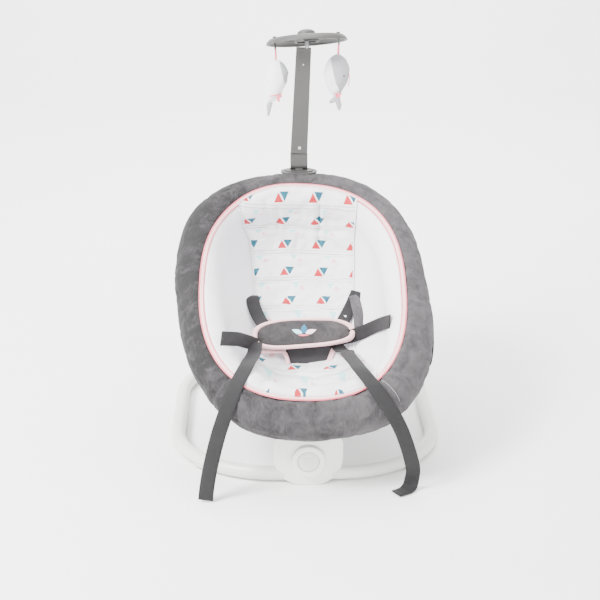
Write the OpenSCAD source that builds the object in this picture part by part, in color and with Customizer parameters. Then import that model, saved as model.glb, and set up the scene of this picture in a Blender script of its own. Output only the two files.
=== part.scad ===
// Baby bouncer seat. A padded oval seat bounces on a hinge in a control unit,
// which stands on a tube loop. A toy bar with a spinning mobile rises from its head end.
// Millimetres, +Z up, front towards -Y, origin on the floor in the middle of the footprint.

/* [Base loop] */
// Outside diameter of the base tube
base_tube_d = 25; // [22:0.5:25.5]
// Half width of the base loop, to the tube's centre line
base_half_w = 235; // [225:1:250]
// Distance from the origin to the centre line of the front tube
base_front = 241; // [239:0.5:243]
// Bend radius of the four corners
base_bend_r = 180; // [150:1:185]
// Height of the tube above the floor
foot_lift = 3; // [2:0.5:5]

/* [Control unit] */
// Width of the housing
unit_w = 120; // [116:1:128]
// Height of the housing's top
unit_top = 84; // [80:1:88]
// Radius of the housing's lower corners
unit_corner_r = 46; // [42:1:48]
// Wall thickness of the housings
wall = 2.5; // [2:0.1:3]
// Diameter of the mode dial
dial_d = 60; // [54:1:62]

/* [Seat] */
// Slope of the seat's rim above level
seat_tilt = 30; // [26:0.5:32]
// Half width of the seat ring, to the tube's centre line
ring_a = 190; // [186:1:194]
// Half length of the seat ring, to the tube's centre line
ring_b = 266; // [262:1:270]
// Outside diameter of the seat ring's tube
ring_tube_d = 16; // [14:0.5:16]
// Radius of the padded rim
rim_r = 40; // [36:1:40]
// Depth of the fabric bucket below its rim
sling_depth = 132; // [110:1:134]
// Width of the harness webbing
webbing_w = 27; // [22:1:30]

/* [Toy bar] */
// Width of the bar at its foot
bar_foot_w = 32; // [30:1:34]
// Width of the bar at its top
bar_top_w = 28; // [26:1:30]
// Height of the bar's top
bar_top = 684; // [660:1:690]
// Sideways lean of the bar
bar_lean = 2.6; // [0:0.1:3]
// Outside radius of the mobile's ring
mobile_r = 77; // [70:1:80]

/* [Hidden] */
$fn = 64;

fit = 0.05;            // radial clearance of running and plug-in fits
gap = 0.3;             // clearance between neighbouring pieces

white_steel = [0.91, 0.91, 0.88];
white_plastic = [0.88, 0.89, 0.86];
grey_plastic = [0.55, 0.54, 0.54];
plush_grey = [0.51, 0.49, 0.51];
webbing_grey = [0.37, 0.35, 0.38];
fabric_white = [0.93, 0.92, 0.94];
ribbon_pink = [0.95, 0.72, 0.75];
steel = [0.72, 0.73, 0.75];
dark_rubber = [0.16, 0.16, 0.17];

// ---- Centre of the seat ring ----
seat_y = -48;
seat_z = 271;

// ---- Base loop ----
tube_r = base_tube_d / 2;
tube_bore_r = tube_r - 1.2;
tube_z = foot_lift + tube_r;
corner_x = base_half_w - base_bend_r;
front_arc_y = -base_front + base_bend_r;
base_rear = -(seat_y - ring_b * cos(seat_tilt) - rim_r) - tube_r;
rear_arc_y = base_rear - base_bend_r;

// ---- Seat ring: an oval of eight tangent arcs in the seat's own plane ----
end_r = 230;           // radius of the arcs at the head and foot ends
end_half_angle = 25;   // half the angle that each end arc turns through
turn_r = 125;          // radius of the four tighter arcs
turn_x = (end_r - turn_r) * sin(end_half_angle);
turn_y = ring_b - end_r + (end_r - turn_r) * cos(end_half_angle);
side_r = (pow(turn_r, 2) - pow(turn_x - ring_a, 2) - pow(turn_y, 2)) / (2 * (turn_x - ring_a + turn_r));
side_x = ring_a - side_r;
side_half_angle = atan2(turn_y, turn_x - side_x);
ring_bore_r = ring_tube_d / 2 - 1.2;
channel_r = ring_tube_d / 2 + 2 * gap;
// Each arc: centre, radius, start angle, end angle, going round from the right side
ring_arcs_rear = [
  [[side_x, 0], side_r, 0, side_half_angle],
  [[turn_x, turn_y], turn_r, side_half_angle, 90 - end_half_angle],
  [[0, ring_b - end_r], end_r, 90 - end_half_angle, 90 + end_half_angle],
  [[-turn_x, turn_y], turn_r, 90 + end_half_angle, 180 - side_half_angle],
  [[-side_x, 0], side_r, 180 - side_half_angle, 180]
];
ring_arcs_front = [
  [[-side_x, 0], side_r, 180, 180 + side_half_angle],
  [[-turn_x, -turn_y], turn_r, 180 + side_half_angle, 270 - end_half_angle],
  [[0, end_r - ring_b], end_r, 270 - end_half_angle, 270 + end_half_angle],
  [[turn_x, -turn_y], turn_r, 270 + end_half_angle, 360 - side_half_angle],
  [[side_x, 0], side_r, 360 - side_half_angle, 360]
];
ring_loop = [
  [[side_x, 0], side_r, -side_half_angle, side_half_angle],
  ring_arcs_rear[1], ring_arcs_rear[2], ring_arcs_rear[3],
  [[-side_x, 0], side_r, 180 - side_half_angle, 180 + side_half_angle],
  ring_arcs_front[1], ring_arcs_front[2], ring_arcs_front[3]
];

// ---- Bounce hinge and the arms that carry the ring ----
pivot_y = -200;
pivot_z = 60;
shaft_r = 5;
riser_x = 30;
elbow_z = 102;
arm_r = 7;
clamp_angle = 40;      // place of the arm clamps on the front corner arcs
clamp_local = [turn_x + turn_r * cos(clamp_angle), -turn_y - turn_r * sin(clamp_angle), 0];
function seat_point(p) = [
  p[0],
  seat_y + p[1] * cos(seat_tilt) - p[2] * sin(seat_tilt),
  seat_z + p[1] * sin(seat_tilt) + p[2] * cos(seat_tilt)
];
elbow = [riser_x, pivot_y, elbow_z];
clamp_point = seat_point(clamp_local);
arm_vec = clamp_point - elbow;
arm_len = norm(arm_vec);

// ---- Control unit ----
unit_front = -259;
unit_split = -222;
unit_back = -160;
unit_floor = 0.5;
dome_r = 170;          // plan radius of the bulged front face
corner_half = unit_w / 2 - unit_corner_r;
dial_y = -264.5;
dial_z = 46;
sleeve_r = 7;
stem_r = 4;
button_r = 18.2;
cell_r = 7.25;
cell_len = 50.5;
cell_z = 14.5;
cell_front = -216;
motor_y = -184;
motor_z = 38.5;
motor_r = 9.5;
ear_in = 46;
ear_out = 54;

// ---- Fabric bucket: a bowl whose plan is a superellipse ----
bowl_a = 143;
bowl_b = 220;
bowl_power = 2.7;
bowl_rim = 6;
bowl_t = 4;

// ---- Toy bar and mobile ----
bar_x = -4;
bar_y = 200;
tilt_z = 461;
bar_foot = 482;
flange_z = 446;
hub = [11.5, 202.5, 688];
hub_turn = [-14, -3.8, 0];
spindle_r = 4;
peg_r = 60;
ring_level = 10.5;      // height of the mobile's ring above the hub point
peg_foot = 0;           // height of the pegs' lower ends

// Hand-set route of each long strap, and the yaw of its width at each point
left_route = [
  [-90, -75, 195], [-92, -124, 196], [-96, -172, 205], [-101, -208, 211], [-106, -240, 213],
  [-114, -262, 206], [-124, -281, 193], [-133, -292, 172], [-143, -300, 146], [-153, -305, 116],
  [-161, -309, 86], [-168, -313, 56], [-173, -317, 28], [-176, -320, 4]
];
left_yaw = [-12, -10, -8, -6, -6, -6, -6, -6, -6, -6, -5, -4, -3, -3];
right_route = [
  [56, -34, 178], [66, -60, 173], [75, -86, 181], [75, -128, 191], [79, -176, 200], [83, -208, 205],
  [87, -238, 208], [96, -262, 204], [108, -283, 194], [124, -296, 175], [141, -303, 149],
  [155, -303, 120], [165, -300, 92], [173, -294, 64], [178, -287, 40], [177, -283, 22],
  [174, -284, 9], [167, -290, 4], [158, -296, 3], [148, -302, 3]
];
right_yaw = [20, 16, 12, 10, 8, 6, 6, 8, 10, 14, 18, 22, 22, 18, 10, 0, -12, -26, -36, -40];

// Shorter straps, in the seat's own axes
left_waist = [[-98, 58, -58], [-95, 38, -61], [-92, 12, -60], [-98, -20, -56], [-114, -48, -40],
  [-119, -65, -24], [-123, -85, -6]];
right_waist = [[104, 42, -54], [102, 24, -57], [99, 2, -56], [108, -10, -54], [120, -18, -38],
  [123, -24, -24], [125, -34, -6]];
waist_width = [0, 1, 2];

// ======== Helpers ========
module at_seat() { translate([0, seat_y, seat_z]) rotate([seat_tilt, 0, 0]) children(); }
module at_hub() { translate(hub) rotate(hub_turn) children(); }
module along_x(x0, x1, y, z) { translate([x0, y, z]) rotate([0, 90, 0]) linear_extrude(x1 - x0) children(); }
module along_y(y0, y1, x, z) { translate([x, y0, z]) rotate([-90, 0, 0]) linear_extrude(y1 - y0) children(); }
module from_to(a, b) {
  d = b - a;
  translate(a) rotate([0, acos(d[2] / norm(d)), atan2(d[1], d[0])]) linear_extrude(norm(d)) children();
}
module annulus(r_out, r_in) { difference() { circle(r_out); circle(r_in); } }
module arc(c, r, a0, a1) {
  translate([c[0], c[1], 0]) rotate([0, 0, a0]) rotate_extrude(angle = a1 - a0, $fn = 180) translate([r, 0]) children();
}
module ring_sweep(arcs) { for (s = arcs) arc(s[0], s[1], s[2], s[3]) children(); }
// A sweep of separate arcs, with a collar over the small gap where two arcs meet
module collared_sweep(arcs, collars, r_out, r_in, collar_in, collar_len) {
  for (s = arcs) arc(s[0], s[1], s[2] + 15 / s[1], s[3] - 15 / s[1]) annulus(r_out, r_in);
  for (k = [0:collars - 1]) let (s = arcs[k])
    translate([s[0][0] + s[1] * cos(s[3]), s[0][1] + s[1] * sin(s[3]), 0]) rotate([90, 0, s[3]])
      translate([0, 0, -collar_len / 2]) linear_extrude(collar_len) annulus(r_out + gap, collar_in);
}
module box(lo, hi) { translate(lo) cube(hi - lo); }
module sides() { children(); mirror([1, 0, 0]) children(); }

// A flat band swept along points; each ring lies across the path with its width along width[i]
function unit(v) = v / norm(v);
function tangent(p, i) = unit(p[min(i + 1, len(p) - 1)] - p[max(i - 1, 0)]);
function across(w, t) = unit(w - (w * t) * t);
module band(path, widths, w, t) {
  n = len(path);
  sides_n = 8;
  ring = [for (k = [0:sides_n - 1]) let (a = 22.5 + 45 * k) [cos(a) / cos(22.5) * w / 2, sin(a) / cos(22.5) * t / 2]];
  pts = [for (i = [0:n - 1], q = ring) let (tg = tangent(path, i), x = across(widths[i], tg), y = cross(tg, x))
    path[i] + q[0] * x + q[1] * y];
  walls = [for (i = [0:n - 2], k = [0:sides_n - 1], half = [0, 1])
    let (a = i * sides_n + k, b = i * sides_n + (k + 1) % sides_n, c = a + sides_n, d = b + sides_n)
    k < sides_n / 2 ? (half == 0 ? [a, c, d] : [a, d, b]) : (half == 0 ? [a, c, b] : [c, d, b])];
  ends = [[for (k = [0:sides_n - 1]) k], [for (k = [sides_n - 1:-1:0]) (n - 1) * sides_n + k]];
  polyhedron(points = pts, faces = concat(walls, ends), convexity = 6);
}
function yaw_dirs(list) = [for (a = list) [cos(a), sin(a), 0]];

// ======== Base loop ========
module half_loop() {
  along_x(gap / 2, corner_x, -base_front, tube_z) annulus(tube_r, tube_bore_r);
  along_x(gap / 2, corner_x, base_rear, tube_z) annulus(tube_r, tube_bore_r);
  along_y(front_arc_y, rear_arc_y, base_half_w, tube_z) annulus(tube_r, tube_bore_r);
  translate([0, 0, tube_z]) {
    arc([corner_x, front_arc_y], base_bend_r, -90, 0) annulus(tube_r, tube_bore_r);
    arc([corner_x, rear_arc_y], base_bend_r, 0, 90) annulus(tube_r, tube_bore_r);
  }
}
module base_tube_right() { color(white_steel) half_loop(); }
module base_tube_left() { color(white_steel) mirror([1, 0, 0]) half_loop(); }
module coupler(y) { along_x(-28, 28, y, tube_z) annulus(tube_bore_r - fit, tube_bore_r - 3); }
module front_coupler() { color(steel) coupler(-base_front); }
module rear_coupler() { color(steel) coupler(base_rear); }

// A rubber saddle that wraps the underside of the tube at the middle of each bend
module foot_profile() {
  difference() {
    intersection() {
      circle(tube_r + 3.2);
      translate([-tube_r, -tube_z]) square([2 * tube_r, tube_z - 4]);
    }
    circle(tube_r + fit);
  }
}
module rubber_feet() {
  color(dark_rubber) sides() translate([0, 0, tube_z]) {
    arc([corner_x, front_arc_y], base_bend_r, -50, -40) foot_profile();
    arc([corner_x, rear_arc_y], base_bend_r, 40, 50) foot_profile();
  }
}

// ======== Control unit ========
// Front view of the housing: straight upper sides, large lower corners, small upper corners
module unit_outline(inset) {
  top_r = 10 - inset;
  top = unit_top - inset;
  half = unit_w / 2 - inset;
  low = unit_floor + inset;
  for (s = [-1, 1]) {
    intersection() {
      translate([s * corner_half, low + unit_corner_r - inset]) circle(unit_corner_r - inset, $fn = 96);
      translate([-half, low]) square([2 * half, top - low]);
    }
    translate([s * (half - top_r), top - top_r]) circle(top_r);
  }
  translate([-corner_half, low]) square([2 * corner_half, top - low]);
  translate([-half, unit_floor + unit_corner_r]) square([2 * half, top - top_r - unit_floor - unit_corner_r]);
  translate([-half + top_r, unit_floor + unit_corner_r]) square([2 * (half - top_r), top - unit_floor - unit_corner_r]);
}
module unit_block(y0, y1, inset) {
  translate([0, y1, 0]) rotate([90, 0, 0]) linear_extrude(y1 - y0) unit_outline(inset);
}
module dome(r) { translate([0, unit_front + dome_r, -1]) cylinder(h = unit_top + 2, r = r, $fn = 180); }
module bent_block(y1, inset) {
  intersection() {
    unit_block(unit_front - 1, y1, inset);
    dome(dome_r - inset);
  }
}
module front_housing() {
  boss_front = -257;
  boss_back = -254.3;
  color(white_plastic) difference() {
    union() {
      difference() {
        bent_block(unit_split, 0);
        bent_block(unit_split + 1, wall);
      }
      along_y(boss_front, boss_back, 0, dial_z) circle(dial_d / 2 + 2);
    }
    along_y(unit_front - 2, boss_front, 0, dial_z) circle(dial_d / 2 + gap);
    along_y(unit_front, boss_back + 1, 0, dial_z) circle(sleeve_r + fit);
    along_x(-unit_w / 2 - 1, unit_w / 2 + 1, -base_front, tube_z) circle(tube_r + gap);
  }
}
module rear_housing() {
  ear_r = 11.5;
  color(white_plastic) difference() {
    union() {
      difference() {
        unit_block(unit_split + gap, unit_back, 0);
        unit_block(unit_split - 1, unit_back - wall, wall);
        for (s = [-1, 1])
          box([s * riser_x - 11.5, pivot_y - 15, unit_top - wall - 1], [s * riser_x + 11.5, pivot_y + 15, unit_top + 1]);
      }
      intersection() {
        sides() {
          along_x(ear_in, ear_out, pivot_y, pivot_z) circle(ear_r);
          box([ear_in, pivot_y - ear_r, 2], [ear_out, pivot_y + ear_r, pivot_z]);
        }
        unit_block(unit_split + 1, unit_back - 1, 1);
      }
    }
    door_opening(gap);
    along_x(-ear_out - 1, ear_out + 1, pivot_y, pivot_z) circle(8 + fit);
    for (p = screw_places) translate([p[0], p[1], -1]) cylinder(h = 12.9, r = 1.6);
  }
}
screw_places = [[-36, -180], [36, -180], [-36, -212], [36, -212]];
module door_opening(grow) {
  box([-27 - grow, -219 - grow, -1], [27 + grow, -165 + grow, 6]);
}
module battery_door() {
  color(white_plastic) intersection() {
    difference() {
      unit_block(unit_split + 1, unit_back - 1, 0);
      unit_block(unit_split, unit_back, wall);
    }
    door_opening(0);
  }
}
module battery_tray() {
  color(dark_rubber) difference() {
    box([-27, -218, 7], [27, -163, 23]);
    for (x = [-17, 0, 17]) {
      along_y(cell_front - 1, cell_front + cell_len + 1, x, cell_z) circle(cell_r + gap);
      box([x - cell_r - gap, cell_front - 1, 6], [x + cell_r + gap, cell_front + cell_len + 1, cell_z]);
    }
  }
}
module battery_cells() {
  color("goldenrod") for (x = [-17, 0, 17]) {
    along_y(cell_front, cell_front + cell_len - 1.5, x, cell_z) circle(cell_r);
    along_y(cell_front + cell_len - 2, cell_front + cell_len, x, cell_z) circle(2.6);
  }
}
module battery_contacts() {
  color(steel) for (x = [-17, 0, 17], y = [cell_front - 0.8, cell_front + cell_len + 0.3])
    along_y(y, y + 0.5, x, cell_z) circle(5);
}
module housing_screws() {
  color(steel) for (p = screw_places) {
    translate([p[0], p[1], 3]) cylinder(h = 9, r = 1.5);
    translate([p[0], p[1], 12]) cylinder(h = 1.6, r = 3);
  }
}
module hinge_shaft() { color(steel) along_x(-ear_out - 1.5, ear_out + 1.5, pivot_y, pivot_z) circle(shaft_r); }
module hinge_bushes() {
  color("peru") sides() {
    along_x(ear_in, ear_out, pivot_y, pivot_z) annulus(8, shaft_r + fit);
    along_x(ear_in - 1.5, ear_in - 0.1, pivot_y, pivot_z) annulus(10, shaft_r + fit);
  }
}
// A torsion spring: a helix of round wire about the shaft, between the yoke and the ear
module torsion_spring() {
  turns = 2;
  steps = 16;
  wire = 1.6;
  coil_r = 7.6;
  x0 = 38.9;
  pitch = 2.1;
  path = [for (i = [0:turns * steps]) let (a = -90 + 360 * i / steps)
    [x0 + pitch * i / steps, pivot_y + coil_r * cos(a), pivot_z + coil_r * sin(a)]];
  widths = [for (p = path) [1, 0, 0]];
  band(path, widths, wire, wire);
}
module bounce_spring_right() { color(steel) torsion_spring(); }
module bounce_spring_left() { color(steel) mirror([1, 0, 0]) torsion_spring(); }

module motor_can() {
  color(steel) difference() {
    along_x(-25, 8, motor_y, motor_z) circle(motor_r);
    along_x(-7, 9, motor_y, motor_z) circle(1.5 + fit);
  }
}
module motor_saddle() {
  color(dark_rubber) difference() {
    box([-22, motor_y - 11, 23 + gap], [5, motor_y + 11, 34]);
    along_x(-23, 6, motor_y, motor_z) circle(motor_r + fit);
  }
}
module motor_shaft() { color(steel) along_x(-6, 19, motor_y, motor_z) circle(1.5); }
module eccentric_weight() {
  color("darkgray") difference() {
    along_x(11, 18, motor_y, motor_z) circle(8.5);
    along_x(10, 19, motor_y, motor_z) circle(1.5 + fit);
    box([10, motor_y - 9, motor_z + 3], [19, motor_y + 9, motor_z + 10]);
  }
}
module control_board() { color("seagreen") box([-32, -238, 32], [32, -236.4, 74]); }
module rotary_switch() {
  color("dimgray") {
    along_y(-253.9, -243.2, 0, dial_z) annulus(12, sleeve_r + 0.15);
    for (s = [-1, 1]) box([s * 10 - 1.5, -243.3, dial_z - 3], [s * 10 + 1.5, -238.1, dial_z + 3]);
  }
}
module tact_switch() {
  color("black") {
    box([-3.5, -242.2, dial_z - 3.5], [3.5, -238.1, dial_z + 3.5]);
    along_y(-242.6, -242, 0, dial_z) circle(1.75);
  }
}
module about_dial_axis() { translate([0, dial_y, dial_z]) rotate([-90, 0, 0]) rotate_extrude($fn = 96) children(); }
module mode_dial() {
  out = dial_d / 2;
  inner = button_r + gap;
  color(white_plastic) about_dial_axis() {
    polygon([[inner, 7.2], [inner, 1.2], [inner + 1.2, 0], [out - 2, 0], [out, 2], [out, 7.2]]);
    polygon([[stem_r + 0.1, 5.7], [inner + 0.1, 5.7], [inner + 0.1, 7.2], [stem_r + 0.1, 7.2]]);
    polygon([[stem_r + 0.1, 7.1], [sleeve_r, 7.1], [sleeve_r, 21.5], [stem_r + 0.1, 21.5]]);
  }
}
module power_button() {
  proud = -1;
  color(white_plastic) about_dial_axis() polygon([
    [0, proud - 0.6], [10, proud], [button_r - 1, proud + 0.6], [button_r, proud + 1.6],
    [button_r, 2.2], [stem_r, 2.2], [stem_r, 19.5], [0, 19.5]
  ]);
}

// ======== Seat frame ========
module seat_yoke() {
  color(grey_plastic) difference() {
    union() {
      along_x(-36, 36, pivot_y, pivot_z) circle(12);
      sides() {
        translate([riser_x, pivot_y, pivot_z]) cylinder(h = elbow_z - pivot_z, r = 8);
        translate(elbow) sphere(10);
        from_to(elbow, elbow + 26 * arm_vec / arm_len) circle(9.8);
      }
    }
    along_x(-40, 40, pivot_y, pivot_z) circle(shaft_r + fit);
    sides() from_to(elbow + 6 * arm_vec / arm_len, clamp_point) circle(arm_r + fit);
  }
}
module arm() {
  from_to(elbow + 6.5 * arm_vec / arm_len, clamp_point - 16.8 * arm_vec / arm_len) annulus(arm_r, arm_r - 1.5);
}
module support_arm_right() { color(white_steel) arm(); }
module support_arm_left() { color(white_steel) mirror([1, 0, 0]) arm(); }
module arm_clamp() {
  difference() {
    union() {
      at_seat() arc([turn_x, -turn_y], turn_r, -clamp_angle - 4, -clamp_angle + 4) circle(12.5);
      from_to(clamp_point, clamp_point - 30 * arm_vec / arm_len) circle(10);
    }
    at_seat() arc([turn_x, -turn_y], turn_r, -clamp_angle - 12, -clamp_angle + 12) circle(ring_tube_d / 2 + 0.1);
    from_to(clamp_point - 13 * arm_vec / arm_len, elbow) circle(arm_r + fit);
  }
}
module arm_clamp_right() { color(grey_plastic) arm_clamp(); }
module arm_clamp_left() { color(grey_plastic) mirror([1, 0, 0]) arm_clamp(); }

module ring_tube_front() {
  color(steel) at_seat() collared_sweep(ring_arcs_front, 4, ring_tube_d / 2, ring_bore_r, ring_bore_r - gap, 3);
}
module ring_tube_rear() {
  color(steel) at_seat() collared_sweep(ring_arcs_rear, 4, ring_tube_d / 2, ring_bore_r, ring_bore_r - gap, 3);
}
module ring_joiners() {
  color(steel) at_seat() sides() arc([side_x, 0], side_r, -2.5, 2.5) circle(ring_bore_r - fit);
}

// Padded rim: a foam roll about the ring, open where the clamps and the bracket come through
saddle_half = end_r * sin(3);
module rim_cushion() {
  color(plush_grey) difference() {
    at_seat() collared_sweep(ring_loop, 8, rim_r, channel_r, channel_r + gap, 5);
    sides() {
      at_seat() arc([turn_x, -turn_y], turn_r, -clamp_angle - 5, -clamp_angle + 5) circle(13.2);
      from_to(clamp_point, clamp_point - 75 * arm_vec / arm_len) circle(10.8);
    }
    at_seat() box([-saddle_half - 3, ring_b - 14.5, -13.2], [saddle_half + 3, ring_b + 13.5, 13.2]);
    translate([bracket_x, bracket_y, bracket_z - 2]) cylinder(h = 60, r = 10.6);
  }
}
module rim_piping() {
  place = 105;
  reach = rim_r + 2.9;
  color(ribbon_pink) at_seat() ring_sweep(concat(ring_arcs_front, ring_arcs_rear))
    translate([reach * cos(place), reach * sin(place)]) circle(2.5, $fn = 24);
}

// ======== Fabric bucket and printed insert ========
function spow(x, p) = sign(x) * pow(abs(x), p);
function bowl_plan(a, grow) = [
  (bowl_a + grow) * spow(cos(a), 2 / bowl_power), (bowl_b + grow) * spow(sin(a), 2 / bowl_power)
];
function gauge(u, v) = pow(pow(abs(u) / bowl_a, bowl_power) + pow(abs(v) / bowl_b, bowl_power), 1 / bowl_power);
// How deep the bowl is, from 0 at its rim to 1 at its middle: full at the head end, a flat ramp at the foot end
function ease(t) = t * t * (3 - 2 * t);
function ramp(v) = ease(min(1, max(0, -v / bowl_b)));
function sag(g, v) = pow(max(0, 1 - pow(g, 2 - 0.4 * ramp(v))), 0.5 + 0.5 * ramp(v));
function bowl_floor(u, v) = bowl_rim - (sling_depth - bowl_t) * sag(gauge(u, v), v);
module seat_sling() {
  around = 40;
  levels = 8;
  function level(k, grow, depth) = [for (i = [0:around - 1])
    let (p = bowl_plan(360 * i / around, grow), g = cos(90 * k / levels))
    [p[0] * g, p[1] * g, bowl_rim - depth * sag(g, p[1] * g)]];
  outer = [for (k = [0:levels - 1]) each level(k, bowl_t - 1.5, sling_depth)];
  inner = [for (k = [0:levels - 1]) each level(k, -1.5, sling_depth - bowl_t)];
  poles = [[0, 0, bowl_rim - sling_depth], [0, 0, bowl_rim - sling_depth + bowl_t]];
  count = around * levels;
  outer_walls = [for (k = [0:levels - 2], i = [0:around - 1]) let (j = (i + 1) % around)
    [k * around + i, k * around + j, (k + 1) * around + j, (k + 1) * around + i]];
  inner_walls = [for (k = [0:levels - 2], i = [0:around - 1]) let (j = (i + 1) % around)
    [count + k * around + j, count + k * around + i, count + (k + 1) * around + i, count + (k + 1) * around + j]];
  rim = [for (i = [0:around - 1]) let (j = (i + 1) % around) [i, count + i, count + j, j]];
  last = (levels - 1) * around;
  tips = [for (i = [0:around - 1], s = [0, 1]) let (j = (i + 1) % around)
    s == 0 ? [last + i, last + j, 2 * count] : [count + last + j, count + last + i, 2 * count + 1]];
  color(fabric_white) at_seat()
    polyhedron(points = concat(outer, inner, poles), faces = concat(outer_walls, inner_walls, rim, tips), convexity = 6);
}
// A pad that follows the bowl's floor from v0 to v1, hw wide each way
module floor_pad(v0, v1, hw, thick, lift) {
  nu = 8;
  nv = 9;
  function half_at(v) = min(hw, 0.84 * bowl_a * pow(1 - pow(abs(v) / bowl_b, bowl_power), 1 / bowl_power));
  grid = [for (h = [lift, lift + thick], j = [0:nv], i = [0:nu])
    let (v = v0 + (v1 - v0) * j / nv, u = half_at(v) * (2 * i / nu - 1)) [u, v, bowl_floor(u, v) + h]];
  row = nu + 1;
  top = row * (nv + 1);
  faces_top = [for (j = [0:nv - 1], i = [0:nu - 1]) let (a = top + j * row + i) [a, a + row, a + row + 1, a + 1]];
  faces_low = [for (j = [0:nv - 1], i = [0:nu - 1]) let (a = j * row + i) [a, a + 1, a + row + 1, a + row]];
  faces_u = [for (j = [0:nv - 1], s = [0, 1]) let (a = j * row + s * nu)
    s == 0 ? [a, a + row, top + a + row, top + a] : [a + row, a, top + a, top + a + row]];
  faces_v = [for (i = [0:nu - 1], s = [0, 1]) let (a = s * nv * row + i)
    s == 0 ? [a + 1, a, top + a, top + a + 1] : [a, a + 1, top + a + 1, top + a]];
  polyhedron(points = grid, faces = concat(faces_top, faces_low, faces_u, faces_v), convexity = 6);
}
module back_pad() { color(fabric_white) at_seat() floor_pad(-28, 186, 94, 8, 6.5); }
module seat_pad() { color(fabric_white) at_seat() floor_pad(-196, -34, 88, 7, 4.5); }

// ======== Harness ========
module waist_strap(path) {
  color(webbing_grey) at_seat() band(path, [for (p = path) waist_width], webbing_w - 2, 2);
}
module waist_strap_left() { waist_strap(left_waist); }
module waist_strap_right() { waist_strap(right_waist); }
module stadium(half_len, r) {
  for (s = [-1, 1]) translate([s * (half_len - r), 0]) circle(r);
  translate([-(half_len - r), -r]) square([2 * (half_len - r), 2 * r]);
}
module crotch_pad() { color(webbing_grey) at_seat() translate([3, -28, -77]) linear_extrude(12) stadium(86, 28); }
module crotch_cover() { color(webbing_grey) at_seat() box([-24, -84, -87], [30, -60, -81]); }
module harness_buckle() { color("black") at_seat() box([-22, -48, -96], [28, -12, -84]); }
module strap_sliders() {
  color("black") at_seat() for (p = [[-91, 25, -60], [95, 13, -55]]) translate(p) difference() {
    box([0, -7, -13], [3, 7, 13]);
    for (s = [-1, 1]) box([-1, s * 3.3 - 1.2, -11], [4, s * 3.3 + 1.2, 11]);
  }
}
module long_strap_left() { color(webbing_grey) band(left_route, yaw_dirs(left_yaw), webbing_w, 2); }
module long_strap_right() { color(webbing_grey) band(right_route, yaw_dirs(right_yaw), webbing_w, 2); }
module side_tag() {
  color("black") at_seat() translate([ring_a - 6, -86, 0]) rotate([0, -38, 0])
    box([rim_r + 3.4, -22, -7], [rim_r + 5, 22, 7]);
}

// ======== Toy bar ========
bracket_x = bar_x;
bracket_y = seat_y + ring_b * cos(seat_tilt);
bracket_z = seat_z + ring_b * sin(seat_tilt);
module bar_bracket() {
  color(grey_plastic) difference() {
    union() {
      at_seat() arc([0, ring_b - end_r], end_r, 90 - 3, 90 + 3) circle(12.5);
      translate([bracket_x, bracket_y, bracket_z]) cylinder(h = flange_z - bracket_z, r = 10);
      translate([bar_x, bar_y - 6, flange_z - 1]) linear_extrude(3) stadium(35, 20);
      translate([bar_x, bar_y - 4, flange_z + 1.9]) linear_extrude(2) stadium(27, 15);
      box([bar_x - 7, bar_y - 8, flange_z + 1], [bar_x + 7, bar_y + 8, tilt_z]);
      along_x(bar_x - 7, bar_x + 7, bar_y, tilt_z) circle(8);
    }
    at_seat() arc([0, ring_b - end_r], end_r, 90 - 9, 90 + 9) circle(ring_tube_d / 2 + 0.1);
    along_x(bar_x - 20, bar_x + 20, bar_y, tilt_z) circle(2.5 + fit);
  }
}
module bar_socket() {
  half = bar_foot_w / 2 + 0.5;
  depth = 11;
  color(grey_plastic) difference() {
    union() {
      along_x(bar_x - half, bar_x + half, bar_y, tilt_z) circle(depth);
      box([bar_x - half, bar_y - depth, tilt_z], [bar_x + half, bar_y + depth, bar_foot - 0.9]);
    }
    box([bar_x - 7 - gap, bar_y - 12, tilt_z - 12], [bar_x + 7 + gap, bar_y + 12, tilt_z + 8.6]);
    box([bar_x - 11 - fit, bar_y - 5 - fit, tilt_z + 11], [bar_x + 11 + fit, bar_y + 5 + fit, bar_foot + 1]);
    along_x(bar_x - half - 1, bar_x + half + 1, bar_y, tilt_z) circle(2.5 + 0.02);
  }
}
module tilt_pin() { color(steel) along_x(bar_x - 16, bar_x + 16, bar_y, tilt_z) circle(2.5); }
module bar_spigot() {
  color(grey_plastic) difference() {
    box([bar_x - 11, bar_y - 5, tilt_z + 11.2], [bar_x + 11, bar_y + 5, bar_foot + 24]);
    lean() along_y(-6, 3, 0.5, 11) circle(1.6);
  }
}
module lean() { translate([bar_x, bar_y, bar_foot]) rotate([0, bar_lean, 0]) children(); }
bar_len = bar_top - bar_foot;
module bar_outline() {
  foot = bar_foot_w / 2;
  top = bar_top_w / 2;
  polygon([[-foot, 0], [foot, 0], [top, bar_len], [-top, bar_len]]);
}
// The space inside the bar: open at the foot, closed at the top
module bar_core() {
  foot = bar_foot_w / 2 - 2;
  top = bar_top_w / 2 - 2;
  polygon([[-foot, 0], [foot, 0], [top, bar_len - 1], [-top, bar_len - 1]]);
}
// One half of the bar: y0 is its joint face, y1 its outer face
module bar_shell(y0, y1) {
  skin = y1 > y0 ? y1 - 2 : y1 + 2;
  lean() difference() {
    translate([0, max(y0, y1), 0]) rotate([90, 0, 0]) linear_extrude(abs(y1 - y0)) bar_outline();
    translate([0, y1 > y0 ? skin : 1, -1]) rotate([90, 0, 0]) linear_extrude(abs(skin) + 1) bar_core();
  }
}
module bar_front_cover() {
  color(grey_plastic) difference() {
    bar_shell(-gap / 2, -8);
    spindle_hole();
    lean() for (z = [11, 171]) {
      along_y(-9, -6.4, 0.5, z) circle(z < 20 ? 3.3 : 1.8);
      along_y(-9, 1, 0.5, z) circle(1.6);
    }
  }
}
module spindle_hole() { at_hub() translate([0, 0, -9]) cylinder(h = 20, r = spindle_r + gap); }
module bar_rear_cover() {
  color(grey_plastic) difference() {
    bar_shell(gap / 2, 8);
    spindle_hole();
  }
}
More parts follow.
